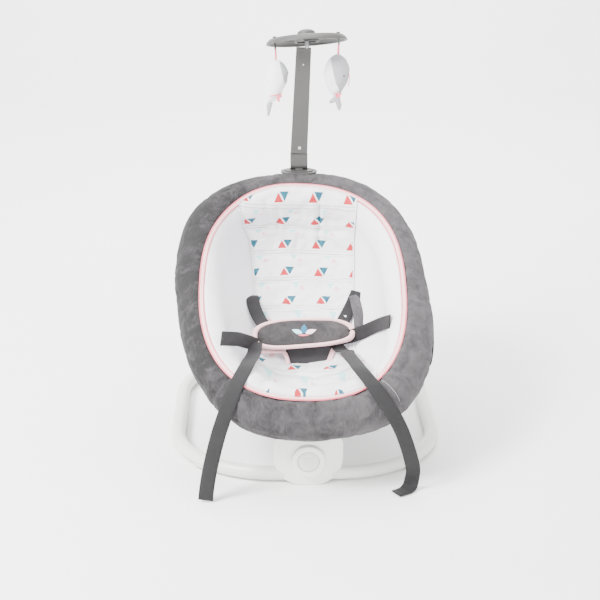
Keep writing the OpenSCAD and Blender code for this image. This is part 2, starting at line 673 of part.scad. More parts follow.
module bar_screws() {
  color(steel) lean() {
    along_y(-7.6, -6.5, 0.5, 11) circle(3);
    along_y(-6.6, 2, 0.5, 11) circle(1.5);
    along_y(-7, 2, 0.5, 171) circle(1.5);
  }
}
// The spindle that the mobile turns on, with the block that holds it in the bar's top
module mobile_spindle() {
  color(steel) {
    lean() box([-10, -5.6, bar_len - 20], [10, 5.6, bar_len - 2.3]);
    at_hub() translate([0, 0, -10]) cylinder(h = 28.8, r = spindle_r);
    at_hub() translate([0, 0, 16.4]) cylinder(h = 2.4, r = 6);
  }
}

// ======== Mobile ========
module mobile_ring() {
  color(grey_plastic) at_hub() translate([0, 0, ring_level]) difference() {
    union() {
      rotate_extrude($fn = 120) polygon([
        [mobile_r, -5.5], [mobile_r, -3.5], [mobile_r - 2.5, 0.5], [mobile_r - 7, 4.4], [mobile_r - 13, 5.6],
        [mobile_r - 22, 5.6], [mobile_r - 22, 2.6], [mobile_r - 10, 2.4], [mobile_r - 5, -1], [mobile_r - 3, -5.5]
      ]);
      translate([0, 0, -4.5]) cylinder(h = 10.1, r = 23);
      for (s = [-1, 1]) box([-12, min(s * 18, s * 57), 1.5], [12, max(s * 18, s * 57), 5]);
      for (s = [-1, 1]) box([min(s * 18, s * 57), -6, 1.5], [max(s * 18, s * 57), 6, 5]);
    }
    translate([0, 0, -5.5]) cylinder(h = 4, r = 20.5);
    translate([0, 0, -5]) cylinder(h = 12, r = spindle_r + fit);
    for (s = [-1, 1]) translate([s * peg_r, 0, -6]) cylinder(h = 13, r = 1.8);
  }
}
module hub_cap() {
  color(grey_plastic) at_hub() translate([0, 0, ring_level + 5.9]) difference() {
    rotate_extrude() polygon([[0, 0], [17.5, 0], [17.5, 5], [16, 9], [12, 12], [6, 13.4], [0, 13.8]]);
    translate([0, 0, -0.1]) cylinder(h = 5, r = 7);
  }
}
// Pegs with a mushroom head above the ring and a cross pin below it for the ribbon's loops
module toy_pegs() {
  color(grey_plastic) for (s = [-1, 1]) {
    at_hub() translate([s * peg_r, 0, 0]) {
      translate([0, 0, peg_foot]) cylinder(h = ring_level + 7 - peg_foot, r = 1.8 - fit);
      translate([0, 0, ring_level + 5.8]) cylinder(h = 4.4, r = 3.6);
    }
    let (p = hub_point([s * peg_r, 0, peg_foot])) along_y(p[1] - 4.2, p[1] + 4.2, p[0], p[2]) circle(2);
  }
}
// Soft toy: the ribbon, with a loop each side of the peg's cross pin, the stuffed body and the tail
module toy(s, top, length, half_w, tail) {
  pivot = hub_point([s * peg_r, 0, peg_foot]);
  color(ribbon_pink) {
    for (y = [-3.9, 2.8]) along_y(pivot[1] + y, pivot[1] + y + 1.2, pivot[0], pivot[2]) annulus(3.6, 2.05);
    box([pivot[0] - 2.5, pivot[1] - 3.9, pivot[2] - 4.5], [pivot[0] + 2.5, pivot[1] + 3.9, pivot[2] - 3.2]);
    box([pivot[0] - 2.5, pivot[1] - 0.6, top - 3], [pivot[0] + 2.5, pivot[1] + 0.6, pivot[2] - 4]);
  }
  color(fabric_white) {
    translate([pivot[0], pivot[1], top - length]) rotate_extrude($fn = 48)
      polygon([for (a = [-90:15:90]) [half_w * cos(a), length / 2 * (1 + sin(a))]]);
    translate([pivot[0], pivot[1] + 3, top - length + 6]) rotate([90, 0, 0]) linear_extrude(6)
      polygon([[-4, 0], [4, 0], [6, -tail * 0.5], [14, -tail], [0, -tail * 0.8], [-14, -tail], [-6, -tail * 0.5]]);
  }
}
function hub_point(p) = let (
    x1 = p[0], y1 = p[1] * cos(hub_turn[0]) - p[2] * sin(hub_turn[0]),
    z1 = p[1] * sin(hub_turn[0]) + p[2] * cos(hub_turn[0])
  ) hub + [x1 * cos(hub_turn[1]) + z1 * sin(hub_turn[1]), y1, -x1 * sin(hub_turn[1]) + z1 * cos(hub_turn[1])];
module toy_left() { toy(-1, 660, 76, 21, 34); }
module toy_right() { toy(1, 671, 74, 22, 26); }

base_tube_left();
base_tube_right();
front_coupler();
rear_coupler();
rubber_feet();
front_housing();
rear_housing();
battery_door();
battery_tray();
battery_cells();
battery_contacts();
housing_screws();
hinge_shaft();
hinge_bushes();
bounce_spring_left();
bounce_spring_right();
motor_can();
motor_saddle();
control_board();
rotary_switch();
tact_switch();
mode_dial();
power_button();
motor_shaft();
eccentric_weight();
seat_yoke();
support_arm_left();
support_arm_right();
arm_clamp_left();
arm_clamp_right();
ring_tube_front();
ring_tube_rear();
ring_joiners();
rim_cushion();
rim_piping();
seat_sling();
back_pad();
seat_pad();
waist_strap_left();
waist_strap_right();
crotch_pad();
crotch_cover();
harness_buckle();
strap_sliders();
long_strap_left();
long_strap_right();
side_tag();
bar_bracket();
bar_socket();
bar_spigot();
tilt_pin();
bar_front_cover();
bar_rear_cover();
bar_screws();
mobile_spindle();
mobile_ring();
hub_cap();
toy_pegs();
toy_left();
toy_right();
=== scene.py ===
"""Baby bouncer seat: the looks. Metres, in the CAD model's frame."""

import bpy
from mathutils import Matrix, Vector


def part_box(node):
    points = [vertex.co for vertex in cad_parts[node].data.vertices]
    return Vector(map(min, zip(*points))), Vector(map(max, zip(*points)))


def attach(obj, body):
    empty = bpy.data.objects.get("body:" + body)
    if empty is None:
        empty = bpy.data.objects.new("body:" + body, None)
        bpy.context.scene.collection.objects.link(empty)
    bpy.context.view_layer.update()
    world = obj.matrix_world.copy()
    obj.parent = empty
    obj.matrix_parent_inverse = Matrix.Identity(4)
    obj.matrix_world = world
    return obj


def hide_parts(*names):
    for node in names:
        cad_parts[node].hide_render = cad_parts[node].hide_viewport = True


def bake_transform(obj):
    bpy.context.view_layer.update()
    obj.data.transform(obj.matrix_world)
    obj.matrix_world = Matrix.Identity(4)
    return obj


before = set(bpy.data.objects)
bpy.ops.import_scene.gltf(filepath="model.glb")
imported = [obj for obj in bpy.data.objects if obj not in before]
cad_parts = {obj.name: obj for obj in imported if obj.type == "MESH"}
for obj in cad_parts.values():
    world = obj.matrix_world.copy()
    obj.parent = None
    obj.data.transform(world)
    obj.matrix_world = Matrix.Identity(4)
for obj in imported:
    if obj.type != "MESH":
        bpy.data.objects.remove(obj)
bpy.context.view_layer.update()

import math
import bmesh
import bpy
import numpy as np
from mathutils import Vector, noise

MM = 0.001
TURN = 2 * math.pi
collection = bpy.context.scene.collection

# ======== Camera and light ========
VIEW_AZIMUTH, VIEW_ELEVATION = math.radians(-1.6), math.radians(19)
VIEW_DISTANCE, VIEW_TARGET = 2.6, (-0.0074, 0, 0.25)
LENS, SENSOR = 84.3, 36
SEAT_MIDDLE = (0, 0, 0.25)
# Name, place, what it points at, side of its square, power
LIGHTS = [
    ("key", (-1.7, -1.2, 2.2), SEAT_MIDDLE, 0.9, 250),
    ("fill", (1.9, -1.9, 1.5), SEAT_MIDDLE, 1.6, 8),
    ("top", (0.1, 0.3, 2.8), (0, 0, 0.2), 1.6, 70),
    ("front", (0, -3.2, 1.0), (0, 0, 0.2), 1.8, 22),
    ("backdrop", (0, 1.6, 3.4), (0, 4.4, 1.6), 2.6, 360),
]
WORLD_GREY, WORLD_STRENGTH = 0.93, 2.32


def aim_rotation(direction):
    return direction.to_track_quat("-Z", "Y").to_euler()


def add_camera():
    level = math.cos(VIEW_ELEVATION)
    back = Vector((math.sin(VIEW_AZIMUTH) * level, -math.cos(VIEW_AZIMUTH) * level, math.sin(VIEW_ELEVATION)))
    data = bpy.data.cameras.new("camera")
    data.lens, data.sensor_width, data.clip_end = LENS, SENSOR, 40
    camera = bpy.data.objects.new("camera", data)
    camera.location = Vector(VIEW_TARGET) + back * VIEW_DISTANCE
    camera.rotation_euler = aim_rotation(-back)
    collection.objects.link(camera)
    bpy.context.scene.camera = camera


def add_lights():
    for name, place, target, size, power in LIGHTS:
        data = bpy.data.lights.new(name, "AREA")
        data.shape, data.size, data.energy = "SQUARE", size, power
        light = bpy.data.objects.new(name, data)
        light.location = place
        light.rotation_euler = aim_rotation(Vector(target) - Vector(place))
        collection.objects.link(light)
    world = bpy.data.worlds.new("studio")
    world.use_nodes = True
    background = world.node_tree.nodes["Background"].inputs
    background[0].default_value = (WORLD_GREY, WORLD_GREY, WORLD_GREY, 1)
    background[1].default_value = WORLD_STRENGTH
    bpy.context.scene.world = world


add_camera()
add_lights()

# ======== Materials ========
class Surface:
    """A Principled material and short calls for the nodes that feed it."""

    def __init__(self, name, rough=0.5, **constants):
        self.material = bpy.data.materials.new(name)
        self.material.use_nodes = True
        self.tree = self.material.node_tree
        self.bsdf = self.tree.nodes["Principled BSDF"]
        self.bsdf.inputs["Roughness"].default_value = rough
        for socket, value in constants.items():
            self.bsdf.inputs[socket.replace("_", " ")].default_value = value
        self.place = self.add("ShaderNodeTexCoord").outputs["Object"]
        self.relief = None

    def add(self, kind, **settings):
        node = self.tree.nodes.new(kind)
        for key, value in settings.items():
            setattr(node, key, value)
        return node

    def feed(self, socket, value):
        if hasattr(value, "links"):
            self.tree.links.new(value, socket)
        else:
            socket.default_value = value

    def math(self, operation, a, b=0.0, c=0.0):
        node = self.add("ShaderNodeMath", operation=operation)
        for socket, value in zip(node.inputs, (a, b, c)):
            self.feed(socket, value)
        return node.outputs[0]

    def split(self, vector):
        """The x, y and z of a vector."""
        node = self.add("ShaderNodeSeparateXYZ")
        self.feed(node.inputs[0], vector)
        return node.outputs

    def uv(self):
        """Across and along the piece's own cloth, in metres."""
        return self.split(self.add("ShaderNodeUVMap").outputs[0])[:2]

    def stretch(self, scale, source=None):
        node = self.add("ShaderNodeMapping")
        self.feed(node.inputs["Vector"], source or self.place)
        node.inputs["Scale"].default_value = scale
        return node.outputs[0]

    def noise(self, scale, detail=3.0, roughness=0.5, source=None, distortion=0.0):
        node = self.add("ShaderNodeTexNoise")
        self.feed(node.inputs["Vector"], source or self.place)
        settings = {"Scale": scale, "Detail": detail, "Roughness": roughness, "Distortion": distortion}
        for socket, value in settings.items():
            node.inputs[socket].default_value = value
        return node.outputs["Fac"]

    def ramp(self, factor, *stops):
        node = self.add("ShaderNodeValToRGB")
        self.feed(node.inputs["Fac"], factor)
        elements = node.color_ramp.elements
        while len(elements) < len(stops):
            elements.new(0.5)
        for element, (place, colour) in zip(elements, stops):
            element.position = place
            element.color = (*colour, 1) if len(colour) == 3 else colour
        return node.outputs["Color"]

    def mix(self, factor, a, b):
        node = self.add("ShaderNodeMix", data_type="RGBA")
        self.feed(node.inputs[0], factor)
        for socket, value in ((node.inputs[6], a), (node.inputs[7], b)):
            self.feed(socket, (*value, 1) if isinstance(value, tuple) and len(value) == 3 else value)
        return node.outputs[2]

    def colour(self, value):
        self.feed(self.bsdf.inputs["Base Color"], value)
        return self

    def roughness(self, factor, low, high):
        node = self.add("ShaderNodeMapRange")
        self.feed(node.inputs["Value"], factor)
        node.inputs["To Min"].default_value, node.inputs["To Max"].default_value = low, high
        self.feed(self.bsdf.inputs["Roughness"], node.outputs[0])
        return self

    def bump(self, height, distance, strength=1.0):
        node = self.add("ShaderNodeBump")
        node.inputs["Strength"].default_value = strength
        node.inputs["Distance"].default_value = distance
        self.feed(node.inputs["Height"], height)
        if self.relief:
            self.feed(node.inputs["Normal"], self.relief)
        self.relief = node.outputs["Normal"]
        self.feed(self.bsdf.inputs["Normal"], self.relief)
        return self


def shade(colour, k):
    return tuple(min(1.0, c * k) for c in colour)


def moulded(name, colour, rough, grain=900.0, depth=0.00006, spread=0.05, **constants):
    """Moulded plastic: fine grain, faint flow shading and dull patches."""
    s = Surface(name, rough, **constants)
    cloud = s.noise(9, 3)
    s.colour(s.ramp(cloud, (0.3, shade(colour, 1 - spread)), (0.7, shade(colour, 1 + spread))))
    s.roughness(s.noise(40, 4), rough - 0.06, rough + 0.08)
    return s.bump(s.noise(grain, 2), depth).material


def metal(name, colour, rough, along=(1, 1, 12), **constants):
    """Drawn or plated metal with fine marks along it."""
    s = Surface(name, rough, Metallic=1.0, **constants)
    marks = s.noise(260, 3, source=s.stretch(along))
    s.colour(s.ramp(s.noise(14, 4), (0.3, shade(colour, 0.86)), (0.7, shade(colour, 1.05))))
    s.roughness(marks, rough - 0.08, rough + 0.1)
    return s.bump(marks, 0.00002).material


def pile(name, dark, light, length=1.0, sheen=0.55, painted_left_shade=0.55):
    """Brushed plush: patches, streaks and fibres, and, by its last argument, a painted shade that makes it
    darker towards the left, standing in for the pile's sheen there.
    """
    s = Surface(name, 0.88, Sheen_Weight=sheen, Sheen_Roughness=0.42, Sheen_Tint=(0.92, 0.9, 0.93, 1))
    bend = s.noise(16, 3, 0.6)
    lay = s.add("ShaderNodeVectorMath", operation="ADD")
    s.feed(lay.inputs[0], s.place)
    swirl = s.add("ShaderNodeTexNoise")
    swirl.inputs["Scale"].default_value, swirl.inputs["Detail"].default_value = 22, 2
    s.feed(swirl.inputs["Vector"], s.place)
    small = s.add("ShaderNodeVectorMath", operation="SCALE")
    s.feed(small.inputs[0], swirl.outputs["Color"])
    small.inputs["Scale"].default_value = 0.035
    s.feed(lay.inputs[1], small.outputs[0])
    streak = s.noise(150 / length, 4, 0.65, source=s.stretch((1.6, 0.7, 0.55), source=lay.outputs[0]))
    fibre = s.noise(900 / length, 3, 0.7, source=s.stretch((1.3, 0.8, 0.5), source=lay.outputs[0]))
    patch = s.noise(30, 4, 0.62, source=lay.outputs[0], distortion=0.6)
    tone = s.math("MULTIPLY_ADD", streak, 0.28, s.math("MULTIPLY", bend, 0.12))
    tone = s.math("MULTIPLY_ADD", patch, 0.6, tone)
    tone = s.math("MULTIPLY_ADD", fibre, 0.12, s.math("SUBTRACT", tone, 0.06))
    # Painted shade: the tone falls towards the left side (negative x), standing in for the pile's darker
    # sheen there.
    side = s.math("MINIMUM", s.split(s.place)[0], 0.12)
    tone = s.math("ADD", tone, s.math("MULTIPLY", side, painted_left_shade))
    middle = tuple((a + b) / 2 for a, b in zip(dark, light))
    s.colour(s.ramp(tone, (0.34, dark), (0.5, middle), (0.66, light)))
    s.bump(patch, 0.0022 * length, 0.6)
    s.bump(streak, 0.0012 * length, 0.7)
    return s.bump(fibre, 0.0005 * length, 0.8).material


def knit(name, colour, rows=1500.0, spread=0.03, rough=0.85, sheen=0.25):
    """Fine jersey or velour."""
    s = Surface(name, rough, Sheen_Weight=sheen, Sheen_Roughness=0.4)
    s.colour(s.ramp(s.noise(18, 4), (0.3, shade(colour, 1 - spread)), (0.7, shade(colour, 1 + spread))))
    s.bump(s.noise(60, 3), 0.0005, 0.5)
    return s.bump(s.noise(rows, 2, source=s.stretch((1, 1, 0.6))), 0.00022, 0.7).material


def webbing(name, colour):
    """Woven narrow webbing: ribs 1.6 mm apart across the band, over warps 2.2 mm apart."""
    s = Surface(name, 0.78, Sheen_Weight=0.05, Sheen_Roughness=0.35)
    across, along = s.uv()
    rib = s.math("SINE", s.math("MULTIPLY", along, TURN / 0.0016))
    warp = s.math("SINE", s.math("MULTIPLY", across, TURN / 0.0022))
    weave = s.math("MULTIPLY_ADD", rib, 0.6, s.math("MULTIPLY", s.math("MULTIPLY", rib, warp), 0.5))
    cloud = s.math("MULTIPLY_ADD", weave, 0.12, s.noise(45, 4))
    s.colour(s.ramp(cloud, (0.3, shade(colour, 0.78)), (0.75, shade(colour, 1.2))))
    return s.bump(weave, 0.00025, 0.9).material


GREY = (0.052, 0.050, 0.049)
paint_white = moulded("paint_white", (0.681, 0.693, 0.656), 0.38, 500, 0.00003, 0.02,
                      Coat_Weight=0.15, Coat_Roughness=0.3)
plastic_white = moulded("plastic_white", (0.80, 0.81, 0.77), 0.36, 800, 0.00004, 0.02,
                        Coat_Weight=0.1, Coat_Roughness=0.35)
plastic_button = moulded("plastic_button", (0.699, 0.718, 0.667), 0.42, 800, 0.00005, 0.02)
plastic_grey = moulded("plastic_grey", GREY, 0.46, 1100, 0.00007, 0.05)
plastic_black = moulded("plastic_black", (0.012, 0.012, 0.014), 0.4, 900)
rubber_dark = moulded("rubber_dark", (0.028, 0.028, 0.03), 0.75, 700, 0.0001)
rubber_pale = moulded("rubber_pale", (0.62, 0.64, 0.60), 0.7, 700, 0.0001)
circuit_green = moulded("circuit_green", (0.01, 0.08, 0.03), 0.4)
steel_plated = metal("steel_plated", (0.52, 0.53, 0.55), 0.32)
cell_wrap = metal("cell_wrap", (0.55, 0.38, 0.1), 0.35)
bush_metal = metal("bush_metal", (0.6, 0.42, 0.2), 0.35)
# The last figure of plush and plush_long sets the painted shade towards the left.
plush = pile("plush", (0.0085, 0.0078, 0.0085), (0.076, 0.069, 0.074), 1.0, 0.05, 0.75)
plush_long = pile("plush_long", (0.010, 0.0092, 0.010), (0.080, 0.073, 0.078), 2.0, 0.06, 0.75)
plush_dark = pile("plush_dark", (0.008, 0.0072, 0.0078), (0.052, 0.046, 0.048), 0.8, 0.06)
jersey_white = knit("jersey_white", (0.82, 0.80, 0.835))
cloth_grey = knit("cloth_grey", (0.048, 0.046, 0.048), 900, 0.06)
binding_pale = knit("binding_pale", (0.84, 0.50, 0.51), 1200, 0.06)
binding_pink = knit("binding_pink", (0.70, 0.15, 0.19), 1200, 0.08)
ribbon_pink = knit("ribbon_pink", (0.74, 0.15, 0.20), 1400, 0.05)
velour_white = knit("velour_white", (0.85, 0.85, 0.86), 700, 0.03)
velour_grey = knit("velour_grey", (0.36, 0.36, 0.38), 500, 0.05)
thread_pink = knit("thread_pink", (0.76, 0.14, 0.20), 2000, 0.05)
teal_cloth = knit("teal_cloth", (0.012, 0.13, 0.22), 1600, 0.12)
tag_black = knit("tag_black", (0.012, 0.012, 0.014), 1600, 0.2)
strap_grey = webbing("strap_grey", (0.0068, 0.0060, 0.0070))
print_grey = moulded("print_grey", (0.45, 0.46, 0.45), 0.5)
blush_thread = knit("blush_thread", (0.86, 0.66, 0.70), 2400, 0.05)
mint_thread = knit("mint_thread", (0.42, 0.72, 0.74), 2400, 0.06)
cloth_dark = knit("cloth_dark", (0.023, 0.021, 0.023), 1300, 0.08)


# ======== Mesh helpers ========
def piece(name, points, faces, material, body, uv=None, smooth=True, nodes=()):
    """A mesh object from points and faces, its body and the CAD nodes that it stands for."""
    mesh = bpy.data.meshes.new(name)
    mesh.from_pydata([tuple(map(float, p)) for p in points], [], [tuple(map(int, f)) for f in faces])
    mesh.validate()
    for m in material if isinstance(material, list) else [material]:
        mesh.materials.append(m)
    if smooth:
        mesh.polygons.foreach_set("use_smooth", [True] * len(mesh.polygons))
    if uv is not None:
        layer = mesh.uv_layers.new(name="UVMap")
        for loop in mesh.loops:
            layer.data[loop.index].uv = uv[loop.vertex_index]
    mesh.update()
    obj = bpy.data.objects.new(name, mesh)
    collection.objects.link(obj)
    if nodes:
        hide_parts(*nodes)
    if body:
        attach(obj, body)
    return obj


def grid_faces(rows, columns, round_rows=False, round_columns=False, start=0, flip=False):
    faces = []
    for i in range(rows if round_rows else rows - 1):
        for j in range(columns if round_columns else columns - 1):
            a, b = start + i * columns + j, start + i * columns + (j + 1) % columns
            c, d = start + (i + 1) % rows * columns + (j + 1) % columns, start + (i + 1) % rows * columns + j
            faces.append((a, d, c, b) if flip else (a, b, c, d))
    return faces


def fan(start, n, tip, flip=False):
    """Triangles from a ring of n points, which starts at index start, to its tip."""
    pairs = [(start + k, start + (k + 1) % n) for k in range(n)]
    return [(b, a, tip) if flip else (a, b, tip) for a, b in pairs]


def layered_faces(rows, columns, flip=False):
    """Two layers of a grid, one after the other in the points, closed round their edge."""
    n = rows * columns
    faces = grid_faces(rows, columns, flip=flip) + grid_faces(rows, columns, start=n, flip=not flip)
    edge = [i * columns for i in range(rows)] + [(rows - 1) * columns + j for j in range(1, columns)]
    edge += [i * columns + columns - 1 for i in range(rows - 2, -1, -1)] + list(range(columns - 2, 0, -1))
    for a, b in zip(edge, edge[1:] + edge[:1]):
        faces.append((a, b, n + b, n + a) if flip else (b, a, n + a, n + b))
    return faces


def unit(v):
    return v / np.maximum(np.linalg.norm(v, axis=-1, keepdims=True), 1e-12)


def smooth_path(points, step):
    """A Catmull-Rom curve through the points, sampled evenly."""
    p = np.array(points, float)
    ext = np.vstack([2 * p[0] - p[1], p, 2 * p[-1] - p[-2]])
    fine = []
    for i in range(len(p) - 1):
        a, b, c, d = ext[i:i + 4]
        square, cube = 2 * a - 5 * b + 4 * c - d, 3 * b - a - 3 * c + d
        for t in np.linspace(0, 1, 24, endpoint=False):
            fine.append(0.5 * (2 * b + (c - a) * t + square * t * t + cube * t ** 3))
    fine = np.array(fine + [p[-1]])
    length = np.concatenate([[0], np.cumsum(np.linalg.norm(np.diff(fine, axis=0), axis=1))])
    count = max(3, int(length[-1] / step) + 1)
    wanted = np.linspace(0, length[-1], count)
    return np.stack([np.interp(wanted, length, fine[:, k]) for k in range(p.shape[1])], 1), length[-1]


def sweep(path, across, profile, closed=False):
    """Points of a profile [(x, y)] carried along a path, with x along across[i] and y square to both."""
    path = np.array(path)
    if closed:
        tangent = unit(np.roll(path, -1, 0) - np.roll(path, 1, 0))
    else:
        tangent = unit(np.gradient(path, axis=0))
    x = unit(across - np.sum(across * tangent, 1, keepdims=True) * tangent)
    y = np.cross(tangent, x)
    px, py = np.array(profile).T[:, None, :, None]
    return (path[:, None] + px * x[:, None] + py * y[:, None]).reshape(-1, 3)


def capped(rows, columns):
    return grid_faces(rows, columns, round_columns=True) + [
        tuple(range(columns - 1, -1, -1)), tuple(range((rows - 1) * columns, rows * columns))]


def circle_profile(r, n=16):
    return [(r * math.cos(TURN * k / n), r * math.sin(TURN * k / n)) for k in range(n)]


def ellipse_profile(rx, ry, n):
    return [(rx * math.cos(a), ry * math.sin(a)) for a in np.linspace(0, TURN, n, endpoint=False)]


def weld(obj, distance=1e-6):
    """Joins points at one place and turns the faces outward."""
    b = bmesh.new()
    b.from_mesh(obj.data)
    bmesh.ops.remove_doubles(b, verts=b.verts, dist=distance)
    bmesh.ops.dissolve_degenerate(b, edges=b.edges, dist=distance)
    bmesh.ops.recalc_face_normals(b, faces=b.faces)
    b.to_mesh(obj.data)
    b.free()


def rounded(points, radius, steps=5):
    """A closed outline in the plane with its corners rounded."""
    out = []
    for i, p in enumerate(points):
        a, b, c = np.array(points[i - 1]), np.array(points[(i + 1) % len(points)]), np.array(p)
        u, v = unit(a - c), unit(b - c)
        half = math.tan(math.acos(max(-1, min(1, float(u @ v)))) / 2)
        cut = min(radius / half, 0.49 * min(np.linalg.norm(a - c), np.linalg.norm(b - c)))
        middle = c + unit(u + v) * math.hypot(cut, cut * half)
        s, e = c + u * cut - middle, c + v * cut - middle
        for t in np.linspace(0, 1, steps + 1):
            out.append(tuple(middle + unit(s * (1 - t) + e * t) * cut * half))
    return out


def set_material(node, material):
    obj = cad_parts[node]
    obj.data.materials.clear()
    obj.data.materials.append(material)
    smooth_by_angle(obj)


def smooth_by_angle(obj, limit=0.6):
    """Smooth shading with edges sharper than the limit left crisp; the shape isn't touched."""
    mesh = obj.data
    mesh.polygons.foreach_set("use_smooth", [True] * len(mesh.polygons))
    b = bmesh.new()
    b.from_mesh(mesh)
    sharp = [e.index for e in b.edges if len(e.link_faces) != 2 or e.calc_face_angle(0) > limit]
    b.free()
    for i in sharp:
        mesh.edges[i].use_edge_sharp = True


def apply_modifiers(obj):
    """Swaps the mesh for its modified form, with the same materials."""
    evaluated = obj.evaluated_get(bpy.context.evaluated_depsgraph_get())
    mesh = bpy.data.meshes.new_from_object(evaluated)
    obj.modifiers.clear()
    old = obj.data
    materials = list(old.materials)
    obj.data = mesh
    mesh.materials.clear()
    for m in materials:
        mesh.materials.append(m)
    bpy.data.meshes.remove(old)


def fbm(p, scale, seed):
    """Soft noise in two octaves, the wider one scale metres wide."""
    q = Vector((p[0] / scale + seed, p[1] / scale + 1.7 * seed, p[2] / scale - seed))
    return noise.fractal(q, 0.9, 2.1, 2)


def bell(x, width):
    return np.exp(-(np.asarray(x) / width) ** 2)


# ======== The seat's shape ========
TILT, ROLL = math.radians(29.9), math.radians(-1.66)
SHIFT = np.array([-2.6, -2.0, 0]) * MM
rim_low, rim_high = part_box("rim_cushion")
SEAT = (np.array(rim_low) + np.array(rim_high)) / 2 + SHIFT
seat_u = np.array([math.cos(ROLL), 0, math.sin(ROLL)])
seat_v = np.array([0, math.cos(TILT), math.sin(TILT)])
seat_w = unit(np.cross(seat_u, seat_v))
seat_v = np.cross(seat_w, seat_u)
# The roll's middle line and the piping, in millimetres in the seat's plane
AROUND = 360
ROLL_R = 41.0
RIM_OVAL, RIM_SKEW = (188, 266, 2.68), math.radians(5.4)
PIPE_OVAL, PIPE_MIDDLE = (180.5, 255, 2.46), (-2.4, -4)
# Where the plush is sewn across, and how deep each seam is
SEAM_PLACES = [(-148, -230), (151, -236), (-12, 266)]
SEAM_DEPTHS = [4.6, 3.8, 3.0]


def seat_point(u, v, w):
    """From the seat's axes, in millimetres, to the model's frame, in metres."""
    u, v, w = (np.asarray(k, float)[..., None] for k in (u, v, w))
    return SEAT + MM * (u * seat_u + v * seat_v + w * seat_w)


def oval(theta, a, b, power):
    r = ((np.abs(np.cos(theta)) / a) ** power + (np.abs(np.sin(theta)) / b) ** power) ** (-1 / power)
    return r * np.cos(theta), r * np.sin(theta)


def rim_line():
    """The roll's middle line: an oval, a little broader at the head end and turned by RIM_SKEW."""
    u, v = oval(np.linspace(0, TURN, AROUND, endpoint=False), *RIM_OVAL)
    u = u * (1 + 0.04 * v / 250)
    c, s = math.cos(RIM_SKEW), math.sin(RIM_SKEW)
    return np.stack([u * c - v * s, u * s + v * c], 1)


roll_line = rim_line()
roll_tangent = unit(np.roll(roll_line, -1, 0) - np.roll(roll_line, 1, 0))
roll_out = np.stack([roll_tangent[:, 1], -roll_tangent[:, 0]], 1)
roll_step = np.linalg.norm(np.roll(roll_line, -1, 0) - roll_line, axis=1)
roll_length = np.concatenate([[0], np.cumsum(roll_step)[:-1]])
PERIMETER = float(roll_step.sum())
pipe_line = np.stack(oval(np.linspace(0, TURN, 2400, endpoint=False), *PIPE_OVAL), 1) + PIPE_MIDDLE


def pipe_angles():
    """How far up the roll's section the piping runs, at each place round it."""
    inset = np.zeros(AROUND)
    for i in range(AROUND):
        d = pipe_line - roll_line[i]
        near = np.hypot(d[:, 0], d[:, 1]) < 60
        k = int(np.argmin(np.where(near, np.abs(d @ roll_tangent[i]), 1e9)))
        inset[i] = -d[k] @ roll_out[i]
    return np.arccos(np.clip(-inset / ROLL_R, -1, 1))


pipe_angle = pipe_angles()


def roll_angle(u, v):
    """The index round the roll that is nearest to a point in the seat's plane."""
    return int(np.argmin(np.hypot(roll_line[:, 0] - u, roll_line[:, 1] - v)))


seams = [roll_length[roll_angle(*place)] for place in SEAM_PLACES]


def arc_gap(a, b):
    return (a - b + PERIMETER / 2) % PERIMETER - PERIMETER / 2


def out_of_roll(i):
    """The outward direction in the seat's plane at one place round the roll."""
    return roll_out[i, 0] * seat_u + roll_out[i, 1] * seat_v


def build_roll(ring=84):
    """The plush roll: seams, gathers beside the piping, soft lumps, and a flatter flank under the liner."""
    phi = np.linspace(0, TURN, ring, endpoint=False)
    points = np.zeros((AROUND, ring, 3))
    for i in range(AROUND):
        s = roll_length[i]
        over = np.degrees(phi - pipe_angle[i])
        over = (over + 180) % 360 - 180
        r = np.full(ring, ROLL_R)
        r -= 3.4 * bell(over, 7)
        r += 1.3 * bell(over + 22, 15)
        inner = 1 / (1 + np.exp(-(over - 6) / 3)) * (np.abs(over) < 130)
        r -= 2.6 * inner
        gather = 0.9 * math.sin(s / 6.1 + 2.2 * math.sin(s / 57)) * (0.55 + 0.45 * math.sin(s / 83 + 1))
        r += gather * bell(over + 16, 17) * (over < 2)
        for place, depth in zip(seams, SEAM_DEPTHS):
            gap = arc_gap(s, place)
            r -= depth * bell(gap, 2.6) * (1 - 0.6 * inner)
            r += 0.9 * bell(abs(gap) - 13, 8)
        centre = seat_point(roll_line[i, 0], roll_line[i, 1], 0)
        out = out_of_roll(i)
        for j in range(ring):
            direction = out * math.cos(phi[j]) + seat_w * math.sin(phi[j])
            base = centre + MM * ROLL_R * direction
            lump = 2.6 * fbm(base, 0.085, 3.1) + 1.1 * fbm(base, 0.030, 7.7) + 0.35 * fbm(base, 0.009, 1.3)
            crease = fbm((base[0] * 0.6, base[1] * 0.6, base[2] * 1.5), 0.05, 12.0)
            lump -= 1.6 * math.exp(-(crease / 0.07) ** 2)
            points[i, j] = centre + MM * (r[j] + lump * (1 - 0.75 * inner[j])) * direction
    return piece("rim_plush", points.reshape(-1, 3), grid_faces(AROUND, ring, True, True, flip=True),
                 [plush, plush_long], "seat", nodes=("rim_cushion",))


build_roll()


def on_roll(i, angle, lift):
    """A point on the roll, lift millimetres above its nominal surface."""
    centre = seat_point(roll_line[i, 0], roll_line[i, 1], 0)
    return centre + MM * (ROLL_R + lift) * (out_of_roll(i) * math.cos(angle) + seat_w * math.sin(angle))


def seam_thread():
    """A thread that shows along one of the roll's seams."""
    i = roll_angle(*SEAM_PLACES[1])
    angles = np.linspace(pipe_angle[i] - 0.12, pipe_angle[i] - 1.5, 40)
    path = np.array([on_roll(i, a, -2.5 + 0.2 * math.sin(9 * a)) for a in angles])
    across = np.tile(roll_out[i, 0] * seat_v - roll_out[i, 1] * seat_u, (len(angles), 1))
    points = sweep(path, across, np.array(circle_profile(0.4, 8)) * MM)
    piece("rim_seam_thread", points, capped(len(angles), 8), velour_grey, "seat")


seam_thread()


